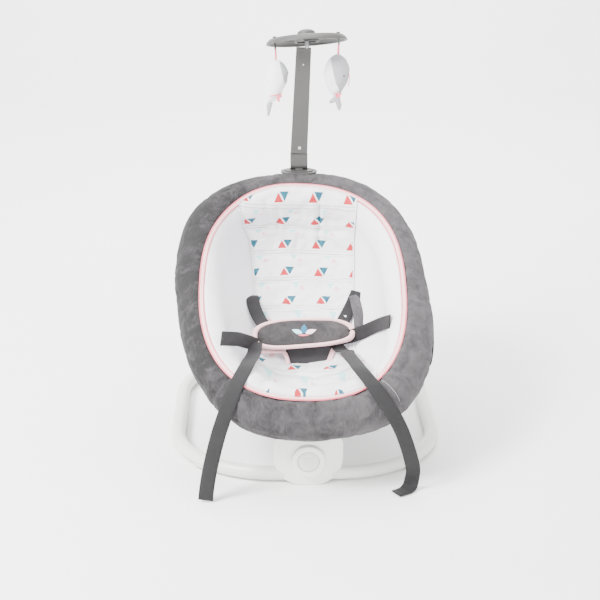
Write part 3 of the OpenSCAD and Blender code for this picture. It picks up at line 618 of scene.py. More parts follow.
def piping():
    """A flat bound tape with a fine cord along each edge."""
    tape = rounded([(-2.9, -1.6), (2.9, -1.6), (2.9, 1.3), (-2.9, 1.3)], 1.0, 4)
    for name, offset, lift, profile, material, nodes in (
        ("rim_piping", 0.0, 0.9, tape, binding_pale, ("rim_piping",)),
        ("rim_piping_outer_cord", -3.7, 0.4, circle_profile(1.5, 12), binding_pink, ()),
        ("rim_piping_inner_cord", 3.6, 0.7, circle_profile(1.2, 12), binding_pink, ()),
    ):
        path, up = [], []
        for i in range(AROUND):
            a = pipe_angle[i] + offset / ROLL_R
            wave = 0.25 * math.sin(roll_length[i] / 4.3 + offset)
            path.append(on_roll(i, a, lift + wave))
            up.append(-out_of_roll(i) * math.sin(a) + seat_w * math.cos(a))
        points = sweep(np.array(path), np.array(up), np.array(profile) * MM, closed=True)
        faces = grid_faces(AROUND, len(profile), True, True)
        piece(name, points, faces, material, "seat", nodes=nodes)


piping()

# ======== Fabric bucket ========
BOWL_DEPTH, BOWL_RINGS = 122.0, 30
inner_line = roll_line - roll_out * (ROLL_R + 0.6)
inner_angle = np.unwrap(np.arctan2(inner_line[:, 1], inner_line[:, 0]))
inner_radius = np.hypot(inner_line[:, 0], inner_line[:, 1])


def rim_radius(angle):
    """How far the roll's inner flank is from the seat's middle."""
    first = inner_angle[0]
    angles = np.append(inner_angle, first + TURN)
    return np.interp((angle - first) % TURN + first, angles, np.append(inner_radius, inner_radius[0]))


def sag(g, v):
    """Share of the bucket's depth at g of the way from its middle to the rim; it is rounder at the front."""
    t = np.clip(-v / 223, 0, 1)
    t = t * t * (3 - 2 * t)
    return np.maximum(0, 1 - g ** (2 - 0.4 * t)) ** (0.5 + 0.5 * t)


def bowl_height(u, v):
    """Height of the bucket's inner face above the ring's plane, inside and up the roll's flank."""
    g = math.hypot(u, v) / float(rim_radius(math.atan2(v, u)))
    if g < 1:
        return -BOWL_DEPTH * float(sag(g, v))
    d = float(np.min(np.hypot(roll_line[:, 0] - u, roll_line[:, 1] - v)))
    return math.sqrt(max(0.0, (ROLL_R + 0.6) ** 2 - d * d))


def bowl_rings(lift):
    """The roll's inner outline, shrunk step by step towards the bucket's middle."""
    line = roll_line - roll_out * (ROLL_R + lift)
    return [(g, line * g) for g in np.cos(math.pi / 2 * np.arange(1, BOWL_RINGS) / BOWL_RINGS)]


def liner_rows(lift, depth):
    """Rows of the bucket's skin from the piping, down the roll's flank and over the bowl."""
    rows = []
    start = pipe_angle + 4.5 / ROLL_R
    for share in np.linspace(0, 1, 12):
        angles = start + (math.pi - start) * share
        rows.append(np.array([on_roll(i, a, lift) for i, a in enumerate(angles)]))
    for g, p in bowl_rings(lift):
        rows.append(seat_point(p[:, 0], p[:, 1], -depth * sag(g, p[:, 1])))
    return rows


def folds(p):
    """Slack folds in the side walls of the liner, deeper on the left."""
    local = (p - SEAT) / MM
    u, v, w = local @ seat_u, local @ seat_v, local @ seat_w
    run = v * 0.8 + w * 0.55 + 0.25 * abs(u)
    wave = math.sin(run / 7.5 + 2.5 * noise.noise(Vector((v / 60, w / 60, u / 90))))
    weight = math.exp(-((abs(u) - 128) / 26) ** 2) * math.exp(-((v + 10) / 110) ** 2)
    return (2.6 if u < 0 else 1.2) * weight * wave + 1.2 * noise.noise(Vector((u / 45, v / 45, w / 45)))


def skin(layers, drop=0.0, flip=False):
    """Points and faces of two layers of rows round the seat, joined at the rim, each with a tip below."""
    size = len(layers) // 2
    tips = [np.mean(layers[k * size - AROUND:k * size], 0) - drop * MM * seat_w for k in (1, 2)]
    faces = grid_faces(size // AROUND, AROUND, round_columns=True, flip=flip)
    faces += grid_faces(size // AROUND, AROUND, round_columns=True, start=size, flip=not flip)
    for i in range(AROUND):
        j = (i + 1) % AROUND
        faces.append((i, j, size + j, size + i) if flip else (i, size + i, size + j, j))
    faces += fan(size - AROUND, AROUND, 2 * size, flip)
    faces += fan(2 * size - AROUND, AROUND, 2 * size + 1, not flip)
    return np.vstack([layers, tips]), faces


def build_liner():
    rows = liner_rows(0.7, BOWL_DEPTH) + liner_rows(-0.9, BOWL_DEPTH + 1.6)
    layers = np.array([p + MM * folds(p) * seat_w * 0.6 for row in rows for p in row])
    points, faces = skin(layers, drop=0.2)
    return piece("seat_liner", points, faces, jersey_white, "seat", nodes=("seat_sling",))


build_liner()


def build_underside():
    """The bucket's outer cover, from the roll's underside round the outside of the bowl."""
    rows = []
    for degrees in np.linspace(232, 196, 9):
        rows.append(np.array([on_roll(i, math.radians(degrees), 1.0) for i in range(AROUND)]))
    for k, (g, p) in enumerate(bowl_rings(-2.5), 1):
        w = -(BOWL_DEPTH + 4.0) * sag(g, p[:, 1]) - 11 * (1 - k / BOWL_RINGS) ** 3
        rows.append(seat_point(p[:, 0], p[:, 1], w))
    outer = np.array(rows).reshape(-1, 3)
    layers = []
    for p in np.vstack([outer, outer + MM * 1.4 * seat_w]):
        q = (p - SEAT) / MM
        layers.append(p + MM * 1.2 * noise.noise(Vector((q @ seat_u / 40, q @ seat_v / 40, 5.0))) * seat_w)
    points, faces = skin(np.array(layers), flip=True)
    return piece("seat_underside", points, faces, cloth_grey, "seat")


build_underside()

# ======== Printed, quilted insert ========
# How far down the cloth each row of the print lies, and the print's own pitches
PRINT_ROWS = [12, 60, 112, 168, 230, 314, 408, 630]
ROW_PITCH, COLUMN_PITCH = 58.0, 65.5
# The insert's side edges: place along the seat, then across it
LEFT_EDGE = [(-240, -100), (-214, -105), (-101, -107), (-56, -98), (20, -88), (57, -84), (81, -89),
             (119, -90), (155, -94), (184, -99), (196, -109), (208, -122)]
RIGHT_EDGE = [(-240, 122), (-129, 120), (-82, 109), (-48, 98), (44, 92), (70, 99), (144, 102),
              (176, 101), (203, 102), (214, 103), (222, 104)]
# Darts: place across, top and bottom down the cloth, lean, depth
DARTS = [(-49, 40, 84, 0.05, 3.0), (33, 22, 116, 0.02, 3.4), (-8, 90, 150, -0.05, 1.6)]
# Sewn rows: place down the cloth, depth, wave
STITCH_ROWS = [(76, 1.2, 4), (128, 1.6, 7), (186, 1.9, 9), (250, 1.4, 6), (345, 1.5, 6), (425, 1.2, 4)]
# The insert's base and face above the bucket, its fullness, and the most that its face stands proud
INSERT_BASE, INSERT_TOP, INSERT_FULL, INSERT_MOST = 1.4, 2.4, 8.0, 12.5
centre_v = np.concatenate([np.linspace(243, 185, 240), np.linspace(184.9, -200, 300),
                           np.linspace(-200.1, -251, 240)])
centre_w = np.array([bowl_height(0.0, v) for v in centre_v])
centre_s = np.concatenate([[0], np.cumsum(np.hypot(np.diff(centre_v), np.diff(centre_w)))])


def print_place(u, v, w):
    """Where a point of the insert lies on its printed cloth, in metres: across, and down from the top."""
    k = int(np.argmin(np.hypot(centre_v - (v + 0.002 * u * u), centre_w - (w - 0.0016 * u * u))))
    s = centre_s[k]
    knots, rows = [], []
    for row, place in enumerate(PRINT_ROWS):
        for d in (-14, 20):
            knots.append(place + d)
            rows.append(ROW_PITCH * row + d)
    return u * MM, float(np.interp(s, knots, rows)) * MM, s


top_pipe = pipe_line[pipe_line[:, 1] > -4]
low_pipe = pipe_line[pipe_line[:, 1] <= -4]
top_pipe = top_pipe[np.argsort(top_pipe[:, 0])]
low_pipe = low_pipe[np.argsort(low_pipe[:, 0])]


class CrossLine:
    """The bucket's line along v at one u, from the top piping to the front piping, by even length."""
    cache = {}

    def __init__(self, u):
        top = float(np.interp(u, top_pipe[:, 0], top_pipe[:, 1])) - 2
        low = float(np.interp(u, low_pipe[:, 0], low_pipe[:, 1])) + 2
        t = (1 - np.cos(np.linspace(0, np.pi, 260))) / 2
        self.v = top + (low - top) * t
        self.w = np.array([bowl_height(u, v) for v in self.v])
        s = np.concatenate([[0], np.cumsum(np.hypot(np.diff(self.v), np.diff(self.w)))])
        self.s = s / s[-1]

    def at(self, t):
        return float(np.interp(t, self.s, self.v)), float(np.interp(t, self.s, self.w))


def cross_line(u):
    key = int(round(u / 3))
    if key not in CrossLine.cache:
        CrossLine.cache[key] = CrossLine(key * 3.0)
    return CrossLine.cache[key]


def insert_grid(rows=150, columns=52):
    grid = np.zeros((rows, columns, 3))
    for i in range(rows):
        t = i / (rows - 1)
        for j in range(columns):
            q = j / (columns - 1)
            left, right = -100.0, 100.0
            for _ in range(3):
                left = float(np.interp(cross_line(left).at(t)[0], *zip(*LEFT_EDGE)))
                right = float(np.interp(cross_line(right).at(t)[0], *zip(*RIGHT_EDGE)))
            u = left + (right - left) * q
            low_u, high_u = math.floor(u / 3) * 3.0, math.floor(u / 3) * 3.0 + 3
            a, b = cross_line(low_u).at(t), cross_line(high_u).at(t)
            f = (u - low_u) / 3
            grid[i, j] = (u, a[0] + (b[0] - a[0]) * f, a[1] + (b[1] - a[1]) * f)
    return grid


def quilt_relief(u, s):
    """Darts, stitched rows and slack in the insert's face, in millimetres."""
    h = 0.0
    for at_u, top, bottom, lean, depth in DARTS:
        run = u - at_u - lean * (s - top)
        along = 1 / (1 + math.exp(-(s - top) / 5)) / (1 + math.exp((s - bottom) / 5))
        h -= depth * along * math.exp(-(run / 2.6) ** 2)
        h += 0.6 * depth * along * math.exp(-((abs(run) - 9) / 6) ** 2)
        pucker = math.sin(s / 3.4) * math.exp(-(run / 11) ** 2)
        h += 0.55 * along * pucker
    for at_s, depth, wave in STITCH_ROWS:
        line = s - at_s - wave * math.sin(u / 38 + at_s)
        h -= depth * math.exp(-(line / 5) ** 2)
        h += 0.6 * depth * math.exp(-((line - 13) / 9) ** 2)
    h += 3.2 * noise.noise(Vector((u / 50, s / 34, 3.0))) + 1.4 * noise.noise(Vector((u / 20, s / 13, 9.0)))
    fold = noise.noise(Vector((u / 70 + 4, s / 26 + u / 90, 1.0)))
    h -= 1.8 * math.exp(-(fold / 0.07) ** 2)
    return h


def build_insert():
    grid = insert_grid()
    rows, columns = grid.shape[:2]
    world = seat_point(grid[..., 0], grid[..., 1], grid[..., 2])
    down = np.gradient(world, axis=0)
    across = np.gradient(world, axis=1)
    normal = unit(np.cross(down, across))
    if np.mean(normal @ seat_w) < 0:
        normal = -normal
    top, base = np.zeros_like(world), np.zeros_like(world)
    for i in range(rows):
        for j in range(columns):
            q, t = j / (columns - 1), i / (rows - 1)
            side = max(0.0, 1 - abs(2 * q - 1) ** 14) ** 0.5
            end = max(0.0, 1 - abs(2 * t - 1) ** 40) ** 0.5
            u, v, w = grid[i, j]
            s = print_place(u, v, w)[2]
            relief = 1.6 * quilt_relief(u, s) * min(1.0, 1.4 * side)
            full = min(INSERT_FULL * side * end + relief * end, INSERT_MOST)
            top[i, j] = world[i, j] + MM * (INSERT_TOP + max(full, 0.2)) * normal[i, j]
            base[i, j] = world[i, j] + MM * INSERT_BASE * normal[i, j]
    points = np.vstack([top.reshape(-1, 3), base.reshape(-1, 3)])
    return points, layered_faces(rows, columns, flip=True), grid, normal


def insert_print():
    """White jersey printed with pairs of triangles, fainter pairs between them, and thin lines."""
    s = Surface("print_cloth", 0.86, Sheen_Weight=0.2, Sheen_Roughness=0.4)
    x0, y0 = (s.math("MULTIPLY", metre, 1000.0) for metre in s.uv())
    across = s.math("ADD", s.math("MULTIPLY_ADD", y0, -0.078, x0), 40.5)

    def cell(value, pitch):
        nearest = s.math("ROUND", s.math("DIVIDE", value, pitch))
        return s.math("SUBTRACT", value, s.math("MULTIPLY", nearest, pitch))

    def triangle(x, y, at_x, at_y, half, tall, up):
        """1 inside a triangle with a level base; its apex is above if up is true."""
        dx = s.math("ABSOLUTE", s.math("SUBTRACT", x, at_x))
        dy = s.math("MULTIPLY", s.math("SUBTRACT", y, at_y), -1.0 if up else 1.0)
        rise = s.math("ADD", dy, tall / 2)
        room = s.math("MULTIPLY", s.math("SUBTRACT", tall, rise), half / tall)
        inside = s.math("GREATER_THAN", s.math("SUBTRACT", room, dx), 0.0)
        return s.math("MULTIPLY", inside, s.math("GREATER_THAN", rise, 0.0))

    x, y = cell(across, COLUMN_PITCH), cell(y0, ROW_PITCH)
    coral = triangle(x, y, -5.6, 0.8, 8.8, 16.0, True)
    teal = triangle(x, y, 5.6, -0.8, 8.8, 16.0, False)
    fx = cell(s.math("SUBTRACT", across, 21.0), COLUMN_PITCH)
    fy = cell(s.math("SUBTRACT", y0, 30.0), ROW_PITCH)
    mint = triangle(fx, fy, -5.5, -2.0, 7.5, 11.0, False)
    blush = triangle(fx, fy, 5.5, 2.5, 6.5, 10.0, True)
    ink = s.noise(170, 3, 0.6)
    hatch = s.math("MULTIPLY_ADD", s.math("SINE", s.math("MULTIPLY", s.math("ADD", x0, y0), 2.4)), 0.16, ink)
    out = s.ramp(s.noise(22, 4), (0.35, (0.78, 0.765, 0.80)), (0.65, (0.85, 0.835, 0.86)))
    for place, strength in ((13.0, 0.55), (18.5, 0.75), (23.0, 0.3)):
        off = cell(s.math("SUBTRACT", y0, place), ROW_PITCH)
        line = s.math("LESS_THAN", s.math("ABSOLUTE", off), 0.75)
        out = s.mix(s.math("MULTIPLY", line, strength), out, (0.28, 0.27, 0.31))
    out = s.mix(s.math("MULTIPLY", mint, 0.75), out, (0.27, 0.68, 0.66))
    out = s.mix(s.math("MULTIPLY", blush, 0.7), out, (0.82, 0.36, 0.40))
    coral_ink = s.ramp(hatch, (0.32, (0.37, 0.008, 0.016)), (0.6, (0.54, 0.024, 0.036)))
    teal_ink = s.ramp(hatch, (0.34, (0.002, 0.04, 0.09)), (0.62, (0.012, 0.15, 0.20)))
    out = s.mix(teal, s.mix(coral, out, coral_ink), teal_ink)
    s.colour(out)
    s.bump(s.noise(75, 3), 0.0006, 0.6)
    return s.bump(s.noise(1500, 2, source=s.stretch((1, 1, 0.6))), 0.0002, 0.6).material


def pad_uv(obj):
    """Lays the printed cloth on the insert by place."""
    layer = obj.data.uv_layers.get("UVMap") or obj.data.uv_layers.new(name="UVMap")
    co = np.zeros(len(obj.data.vertices) * 3)
    obj.data.vertices.foreach_get("co", co)
    local = (co.reshape(-1, 3) - SEAT) / MM
    place = [print_place(float(p @ seat_u), float(p @ seat_v), float(p @ seat_w))[:2] for p in local]
    flat = np.array([place[loop.vertex_index] for loop in obj.data.loops])
    layer.data.foreach_set("uv", flat.ravel())


insert_points, insert_faces, insert_place, insert_normal = build_insert()
insert = piece("printed_insert", insert_points, insert_faces, insert_print(), "seat",
               nodes=("back_pad", "seat_pad"))
pad_uv(insert)


def insert_edge(name, column):
    """A narrow bound seam down one side of the insert."""
    world = seat_point(*insert_place[:, column].T)
    normal = insert_normal[3:-3, column]
    path = world[3:-3] + MM * 2.6 * normal
    across = np.cross(unit(np.gradient(world, axis=0))[3:-3], normal)
    points = sweep(path, across, ellipse_profile(1.5 * MM, 1.2 * MM, 10))
    piece(name, points, capped(len(path), 10), jersey_white, "seat")


insert_edge("insert_edge_left", 0)
insert_edge("insert_edge_right", -1)

# ======== Harness ========
# Half of a strap's section, from one edge to the other, as shares of its half width and half thickness
STRAP_SECTION = [(-1, -0.7), (-0.97, -1), (-0.5, -1), (0, -1), (0.5, -1), (0.97, -1), (1, -0.7)]
LONG_STRAP, WAIST_STRAP = 0.0254, 0.025
STRAP_THICK = 2 * MM


def strap(name, route, dirs, width, thick=STRAP_THICK, body="seat", curl=0.0, nodes=(),
          material=strap_grey):
    """Flat webbing along a route; dirs gives the width's direction at each route point."""
    path, _ = smooth_path(np.hstack([np.array(route, float), np.array(dirs, float)]), 0.006)
    place, across = path[:, :3], unit(path[:, 3:])
    section = STRAP_SECTION + [(-x, -y) for x, y in STRAP_SECTION]
    profile = [(x * width / 2, y * thick / 2 + curl * (1 - x * x)) for x, y in section]
    points = sweep(place, across, profile)
    run = np.concatenate([[0], np.cumsum(np.linalg.norm(np.diff(place, axis=0), axis=1))])
    uv = [(x, float(s)) for s in run for x, _ in profile]
    obj = piece(name, points, capped(len(place), len(profile)), material, body, uv=uv, nodes=nodes)
    smooth_by_angle(obj, 0.7)
    return obj, place, float(run[-1])


def metres(points):
    return [[x * MM for x in p] for p in points]


# The long straps' routes, as in the CAD model, and how far each point's width is turned from across the seat
left_route = metres([
    (-90, -75, 195), (-92, -124, 196), (-96, -172, 205), (-101, -208, 211), (-106, -240, 213),
    (-114, -262, 206), (-124, -281, 193), (-133, -292, 172), (-143, -300, 146), (-153, -305, 116),
    (-161, -309, 86), (-168, -313, 56), (-173, -317, 28), (-176, -320, 4)])
left_yaw = [-12, -10, -8, -6, -6, -6, -6, -6, -6, -6, -5, -4, -3, -3]
right_route = metres([
    (56, -34, 178), (66, -60, 173), (75, -86, 181), (75, -128, 191), (79, -176, 200), (83, -208, 205),
    (87, -238, 208), (96, -262, 204), (108, -283, 194), (124, -296, 175), (141, -303, 149),
    (155, -303, 120), (165, -300, 92), (173, -294, 64), (178, -287, 40), (177, -283, 22),
    (174, -284, 9), (167, -290, 4), (158, -296, 3), (148, -302, 3)])
right_yaw = [20, 16, 12, 10, 8, 6, 6, 8, 10, 14, 18, 22, 22, 18, 10, 0, -12, -26, -36, -40]


def yaw_dirs(yaws):
    return [(math.cos(math.radians(a)), math.sin(math.radians(a)), 0) for a in yaws]


for side, route, yaws in (("left", left_route, left_yaw), ("right", right_route, right_yaw)):
    node = "long_strap_" + side
    obj, place, length = strap("webbing_" + side, route, yaw_dirs(yaws), LONG_STRAP, body=None, nodes=(node,))
    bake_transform(obj)


def seat_route(points):
    return [seat_point(*p) for p in points]


def seat_dir(points):
    return [u * seat_u + v * seat_v + w * seat_w for u, v, w in points]


# Each waist strap comes out of a slit beside the insert, runs under the crotch pad and leaves a loose tail
WAIST = {
    "left": ([(-93, 92, -99), (-93, 82, -92), (-92, 70, -88), (-88, 50, -87), (-81, 28, -86), (-72, 4, -80)],
             (1, 0.05, 0.1),
             [(-80, -50, -78), (-92, -66, -51), (-104, -87, -20), (-116, -110, 13), (-130, -134, 43),
              (-144, -157, 71)],
             (0.12, 0.74, 0.65), ("waist_strap_left", "strap_sliders")),
    "right": ([(106, 82, -72), (98, 64, -79), (91, 49, -84), (82, 32, -89), (74, 14, -88), (68, 0, -84)],
              (0.85, -0.3, 0.2),
              [(74, -26, -80), (92, -26, -74), (110, -24, -66), (126, -28, -48), (139, -42, -20),
               (151, -74, 26)],
              (-0.1, -0.7, -0.7), ("waist_strap_right",)),
}
for side, (slit, slit_dir, tail, tail_dir, nodes) in WAIST.items():
    strap("waist_" + side, seat_route(slit), seat_dir([slit_dir] * len(slit)), WAIST_STRAP, nodes=nodes)
    strap("waist_tail_" + side, seat_route(tail), seat_dir([tail_dir] * len(tail)), WAIST_STRAP)
hip_wing = [(100, 74, -78), (103, 52, -76), (106, 28, -76), (107, 4, -80), (108, -14, -82)]
strap("hip_wing_right", seat_route(hip_wing), seat_dir([(1, 0.05, 0.1)] * len(hip_wing)), 19 * MM, 6 * MM,
      curl=1.5 * MM, material=plush)

# The crotch pad's middle in the seat's axes, and half its length
PAD = (3.0, -26.0, -67.0)
PAD_HALF = 92


def pad_outline(n=120):
    """The crotch pad's outline in its own plane: broad at the left, slimmer and higher at the right."""
    points = []
    for k in range(n):
        c, s = math.cos(TURN * k / n), math.sin(TURN * k / n)
        x = PAD_HALF * abs(c) ** 0.72 * (1 if c > 0 else -1)
        half = 33 - 5.5 * (x + PAD_HALF) / (2 * PAD_HALF)
        y = half * abs(s) ** 0.80 * (1 if s > 0 else -1)
        y += 0.07 * x + 3.5 * math.exp(-((x - 62) / 26) ** 2) * (1 if s > 0 else 0.2)
        points.append((x, y))
    return points


def pad_surface(x, y, lift):
    """The pad follows the lap: it droops at both ends."""
    return PAD[0] + x, PAD[1] + y, PAD[2] + lift - 0.0009 * x * x - 0.0035 * (y - 6) ** 2


def build_crotch_pad(n=120, levels=15):
    points = []
    outline = np.array(pad_outline(n))
    for layer in (1, -1):
        for k in range(levels):
            g = 1 - k / levels
            for x, y in outline * g:
                full = 6.5 * (1 - g ** 6) ** 0.5
                lump = 1.1 * noise.noise(Vector((x / 22, y / 18, layer * 5.0)))
                points.append(pad_surface(x, y, layer * (full + (lump if full > 3 else 0))))
    points += [pad_surface(0.0, 0.0, layer * 6.5) for layer in (1, -1)]
    size = levels * n
    faces = grid_faces(levels, n, round_columns=True)
    faces += grid_faces(levels, n, round_columns=True, start=size, flip=True)
    faces += fan(size - n, n, 2 * size) + fan(2 * size - n, n, 2 * size + 1, flip=True)
    obj = piece("crotch_pad_plush", seat_point(*np.array(points).T), faces, plush_dark, "seat",
                nodes=("crotch_pad",))
    weld(obj, 1e-5)
    return obj


build_crotch_pad()


def edge_binding(name, path, out, width, thick, closed=True, spread=None):
    """Bias binding folded over an edge, with its outward directions; spread widens it place by place."""
    profile = []
    for a in np.linspace(0, TURN, 14, endpoint=False):
        c = math.cos(a)
        profile.append((width / 2 * c * abs(c) ** -0.3 if abs(c) > 1e-6 else 0, thick / 2 * math.sin(a)))
    points = sweep(path, out, profile, closed=closed)
    if spread is not None:
        points = points.reshape(len(path), -1, 3)
        points = path[:, None] + (points - path[:, None]) * np.asarray(spread)[:, None, None]
        points = points.reshape(-1, 3)
    faces = grid_faces(len(path), 14, True, True) if closed else capped(len(path), 14)
    piece(name, points, faces, binding_pale, "seat")


def pad_binding():
    outline = np.array(pad_outline(220))
    ends = np.abs(outline[:, 0] / PAD_HALF) ** 5
    line = [pad_surface(x * (1 - 0.02 * e), y, 3.2) for (x, y), e in zip(outline, ends)]
    path = seat_point(*np.array(line).T)
    for _ in range(4):
        path = (np.roll(path, 1, 0) + path + np.roll(path, -1, 0)) / 3
    out = unit(path - np.mean(path, 0))
    edge_binding("crotch_pad_binding", path, out, 6.2 * MM, 7.0 * MM, spread=1 + 0.65 * ends)


pad_binding()


def patch(name, outline, material, lift=6.6, thick=0.9):
    """A raised embroidered shape on the crotch pad, from its outline in the pad's plane."""
    n = len(outline)
    outline = np.array(outline, float)
    middle = outline.mean(0)
    points = []
    for g, h in ((1.0, -1.6), (1.0, 0.1), (0.9, 0.5), (0.45, thick)):
        for x, y in middle + (outline - middle) * g:
            points.append(pad_surface(x, y, lift + h))
    points.append(pad_surface(middle[0], middle[1], lift + thick + 0.1))
    faces = grid_faces(4, n, round_columns=True) + fan(3 * n, n, 4 * n) + [tuple(range(n - 1, -1, -1))]
    weld(piece(name, seat_point(*np.array(points).T), faces, material, "seat"))


def leaf(base, tip, fat, n=14):
    """A leaf's outline, fat times as wide as it is long on each side."""
    base, tip = np.array(base, float), np.array(tip, float)
    along = tip - base
    side = np.array([-along[1], along[0]]) * fat
    t = np.linspace(0, 1, n)
    bulge = np.sin(np.pi * t ** 0.8)
    left = base + np.outer(t, along) + np.outer(bulge, side)
    right = base + np.outer(t, along) - np.outer(bulge, side)
    return [tuple(p) for p in left] + [tuple(p) for p in right[-2:0:-1]]


# A plain sprig of three leaves on a short stem
patch("motif_petal", leaf((3, -7), (23, 3), 0.24), blush_thread, 6.8)
patch("motif_leaf_broad", leaf((0, -7), (1, 15), 0.27), teal_cloth, 6.9)
patch("motif_leaf_small", leaf((-3, -7), (-22, 2), 0.24), mint_thread, 6.8)
patch("motif_stem", leaf((-10, -11), (10, -10.5), 0.1), thread_pink, 6.8, 0.6)

# Crotch cover: its middle line, as places along the seat and heights, and its two bound side edges
COVER_LINE = [(-36, -80), (-46, -88), (-55, -96), (-62, -102), (-68, -107)]
COVER_LEFT, COVER_WIDE = -29, 85
COVER_EDGES = {
    "left": (8 * MM, [(-74, -64, -80), (-57, -57, -86), (-43, -53, -90), (-34, -53, -91), (-29, -58, -95),
                      (-26, -65, -100), (-24, -72, -104)]),
    "right": (10 * MM, [(61, -36, -86), (58, -46, -90), (55, -55, -95), (52, -63, -100), (50, -70, -104)]),
}


def build_cover(columns=17):
    path, _ = smooth_path([(0, v, w) for v, w in COVER_LINE], 2.5)
    points = []
    for layer in (0, 1):
        for _, v, w in path:
            for j in range(columns):
                q = j / (columns - 1)
                x = COVER_LEFT + COVER_WIDE * q
                puff = 2.6 * (1 - abs(2 * q - 1) ** 6) if layer == 0 else -0.6
                points.append((x, v, w + puff + 0.5 * noise.noise(Vector((x / 12, v / 10, 2.0)))))
    weld(piece("crotch_tab", seat_point(*np.array(points).T), layered_faces(len(path), columns), cloth_dark,
               "seat", nodes=("crotch_cover", "harness_buckle")))
    for side, (width, route) in COVER_EDGES.items():
        edge, _ = smooth_path(route, 2.5)
        line = seat_point(edge[:, 0], edge[:, 1], edge[:, 2] + 1.0)
        out = unit(np.cross(np.gradient(line, axis=0), seat_w))
        edge_binding("crotch_tab_edge_" + side, line, out, width, 4.5 * MM, closed=False)


build_cover()

# ======== Side tag ========
def build_tag(columns=25, rows=7):
    """A blank woven tag, sewn on the roll's side where the CAD model has it."""
    low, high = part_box("side_tag")
    local = ((np.array(low) + np.array(high)) / 2 - SEAT) / MM
    middle = roll_angle(local[0], local[1])
    points = []
    for lift in (2.6, 1.2):
        for r in range(rows):
            a = math.radians(-12) + (r / (rows - 1) - 0.5) * 13 / ROLL_R
            for c in range(columns):
                k = (middle + int(round(c - columns / 2))) % AROUND
                points.append(on_roll(k, a, lift + 0.3 * math.sin(c / 3.0)))
    weld(piece("woven_side_tag", points, layered_faces(rows, columns), tag_black, "seat",
               nodes=("side_tag",)))


build_tag()

# ======== Control unit ========
# Front plane and height of the dial's axis
DIAL_Y, DIAL_Z = -0.2645, 0.046
# Radius and height forward of the front plane
DIAL_PROFILE = [(18.6, -7), (18.6, -1.2), (18.9, -0.4), (19.6, 0.6), (21, 1.1), (25, 1.4), (27.6, 0.9),
                (28.9, -0.3), (29.4, -2.2), (29.4, -7), (18.6, -7)]
BUTTON_PROFILE = [(0, 1.6), (5, 1.55), (10, 1.3), (14, 0.8), (16.6, 0.2), (17.8, -0.6), (18.2, -1.8),
                  (18.2, -5), (0, -5)]


def on_face(x, z, forward):
    """A point on the control unit's face, in millimetres from the dial's axis and its front plane."""
    return x * MM, DIAL_Y - forward * MM, DIAL_Z + z * MM


def turned(name, profile, material, node, segments=120):
    """A turned part about the dial's axis."""
    points = []
    for r, h in profile:
        for k in range(segments):
            a = TURN * k / segments
            points.append(on_face(r * math.cos(a), r * math.sin(a), h))
    faces = grid_faces(len(profile), segments, round_columns=True)
    obj = piece(name, points, faces, material, name.split("_")[0], nodes=(node,))
    weld(obj)
    smooth_by_angle(obj, 0.5)


turned("dial_ring", DIAL_PROFILE, plastic_white, "mode_dial")
turned("button_cap", BUTTON_PROFILE, plastic_button, "power_button")


def button_marks():
    """Fine raised bars across the button."""
    for count, k in enumerate(range(-4, 5)):
        x = k * 2.1
        half = math.sqrt(max(0, 10.5 ** 2 - x * x)) * (0.9 if k % 2 else 0.75)
        points = []
        for z in np.linspace(-half, half, 9):
            for dx, h in ((-0.4, 0), (-0.25, 0.35), (0.25, 0.35), (0.4, 0)):
                dome = 1.6 - 0.003 * math.hypot(x + dx, z) ** 2
                points.append(on_face(x + dx, z, dome + h - 0.05))
        bar = piece("button_bar_%d" % count, points, capped(9, 4), plastic_button, "button")
        weld(bar, 1e-7)


def dial_ticks():
    """Small ticks round the dial, long and short in turn."""
    for k in range(8):
        a = math.radians(22.5 + 45 * k)
        c, s = math.cos(a), math.sin(a)
        end = 24.8 if k % 2 == 0 else 24.0
        points = []
        for r, h in ((22.2, 0.35), (22.6, 0.95), (end - 0.4, 0.95), (end, 0.35)):
            points += [on_face(r * c - side * s, r * s + side * c, h) for side in (-0.45, 0.45)]
        faces = [(0, 1, 3, 2), (2, 3, 5, 4), (4, 5, 7, 6), (0, 2, 4, 6), (7, 5, 3, 1), (0, 6, 7, 1)]
        tick = piece("dial_tick_%d" % k, points, faces, print_grey, "dial", smooth=False)
        weld(tick, 1e-7)


button_marks()
dial_ticks()


# ======== CAD nodes that keep their shape ========
BY_MATERIAL = {
    paint_white: ("base_tube_left", "base_tube_right", "support_arm_left", "support_arm_right"),
    plastic_white: ("front_coupler", "rear_coupler", "front_housing", "rear_housing", "battery_door"),
    plastic_grey: ("battery_tray", "seat_yoke", "arm_clamp_left", "arm_clamp_right", "bar_bracket",
                   "bar_socket", "bar_spigot", "bar_front_cover", "bar_rear_cover", "mobile_ring",
                   "hub_cap", "toy_pegs"),
    steel_plated: ("battery_contacts", "housing_screws", "hinge_shaft", "bounce_spring_left",
                   "bounce_spring_right", "motor_can", "motor_shaft", "eccentric_weight",
                   "ring_tube_front", "ring_tube_rear", "ring_joiners", "tilt_pin", "bar_screws",
                   "mobile_spindle"),
    rubber_dark: ("motor_saddle",),
    rubber_pale: ("rubber_feet",),
    plastic_black: ("rotary_switch", "tact_switch", "harness_buckle", "strap_sliders"),
    circuit_green: ("control_board",),
    cell_wrap: ("battery_cells",),
    bush_metal: ("hinge_bushes",),
}
KNUCKLE_Z = 461.0


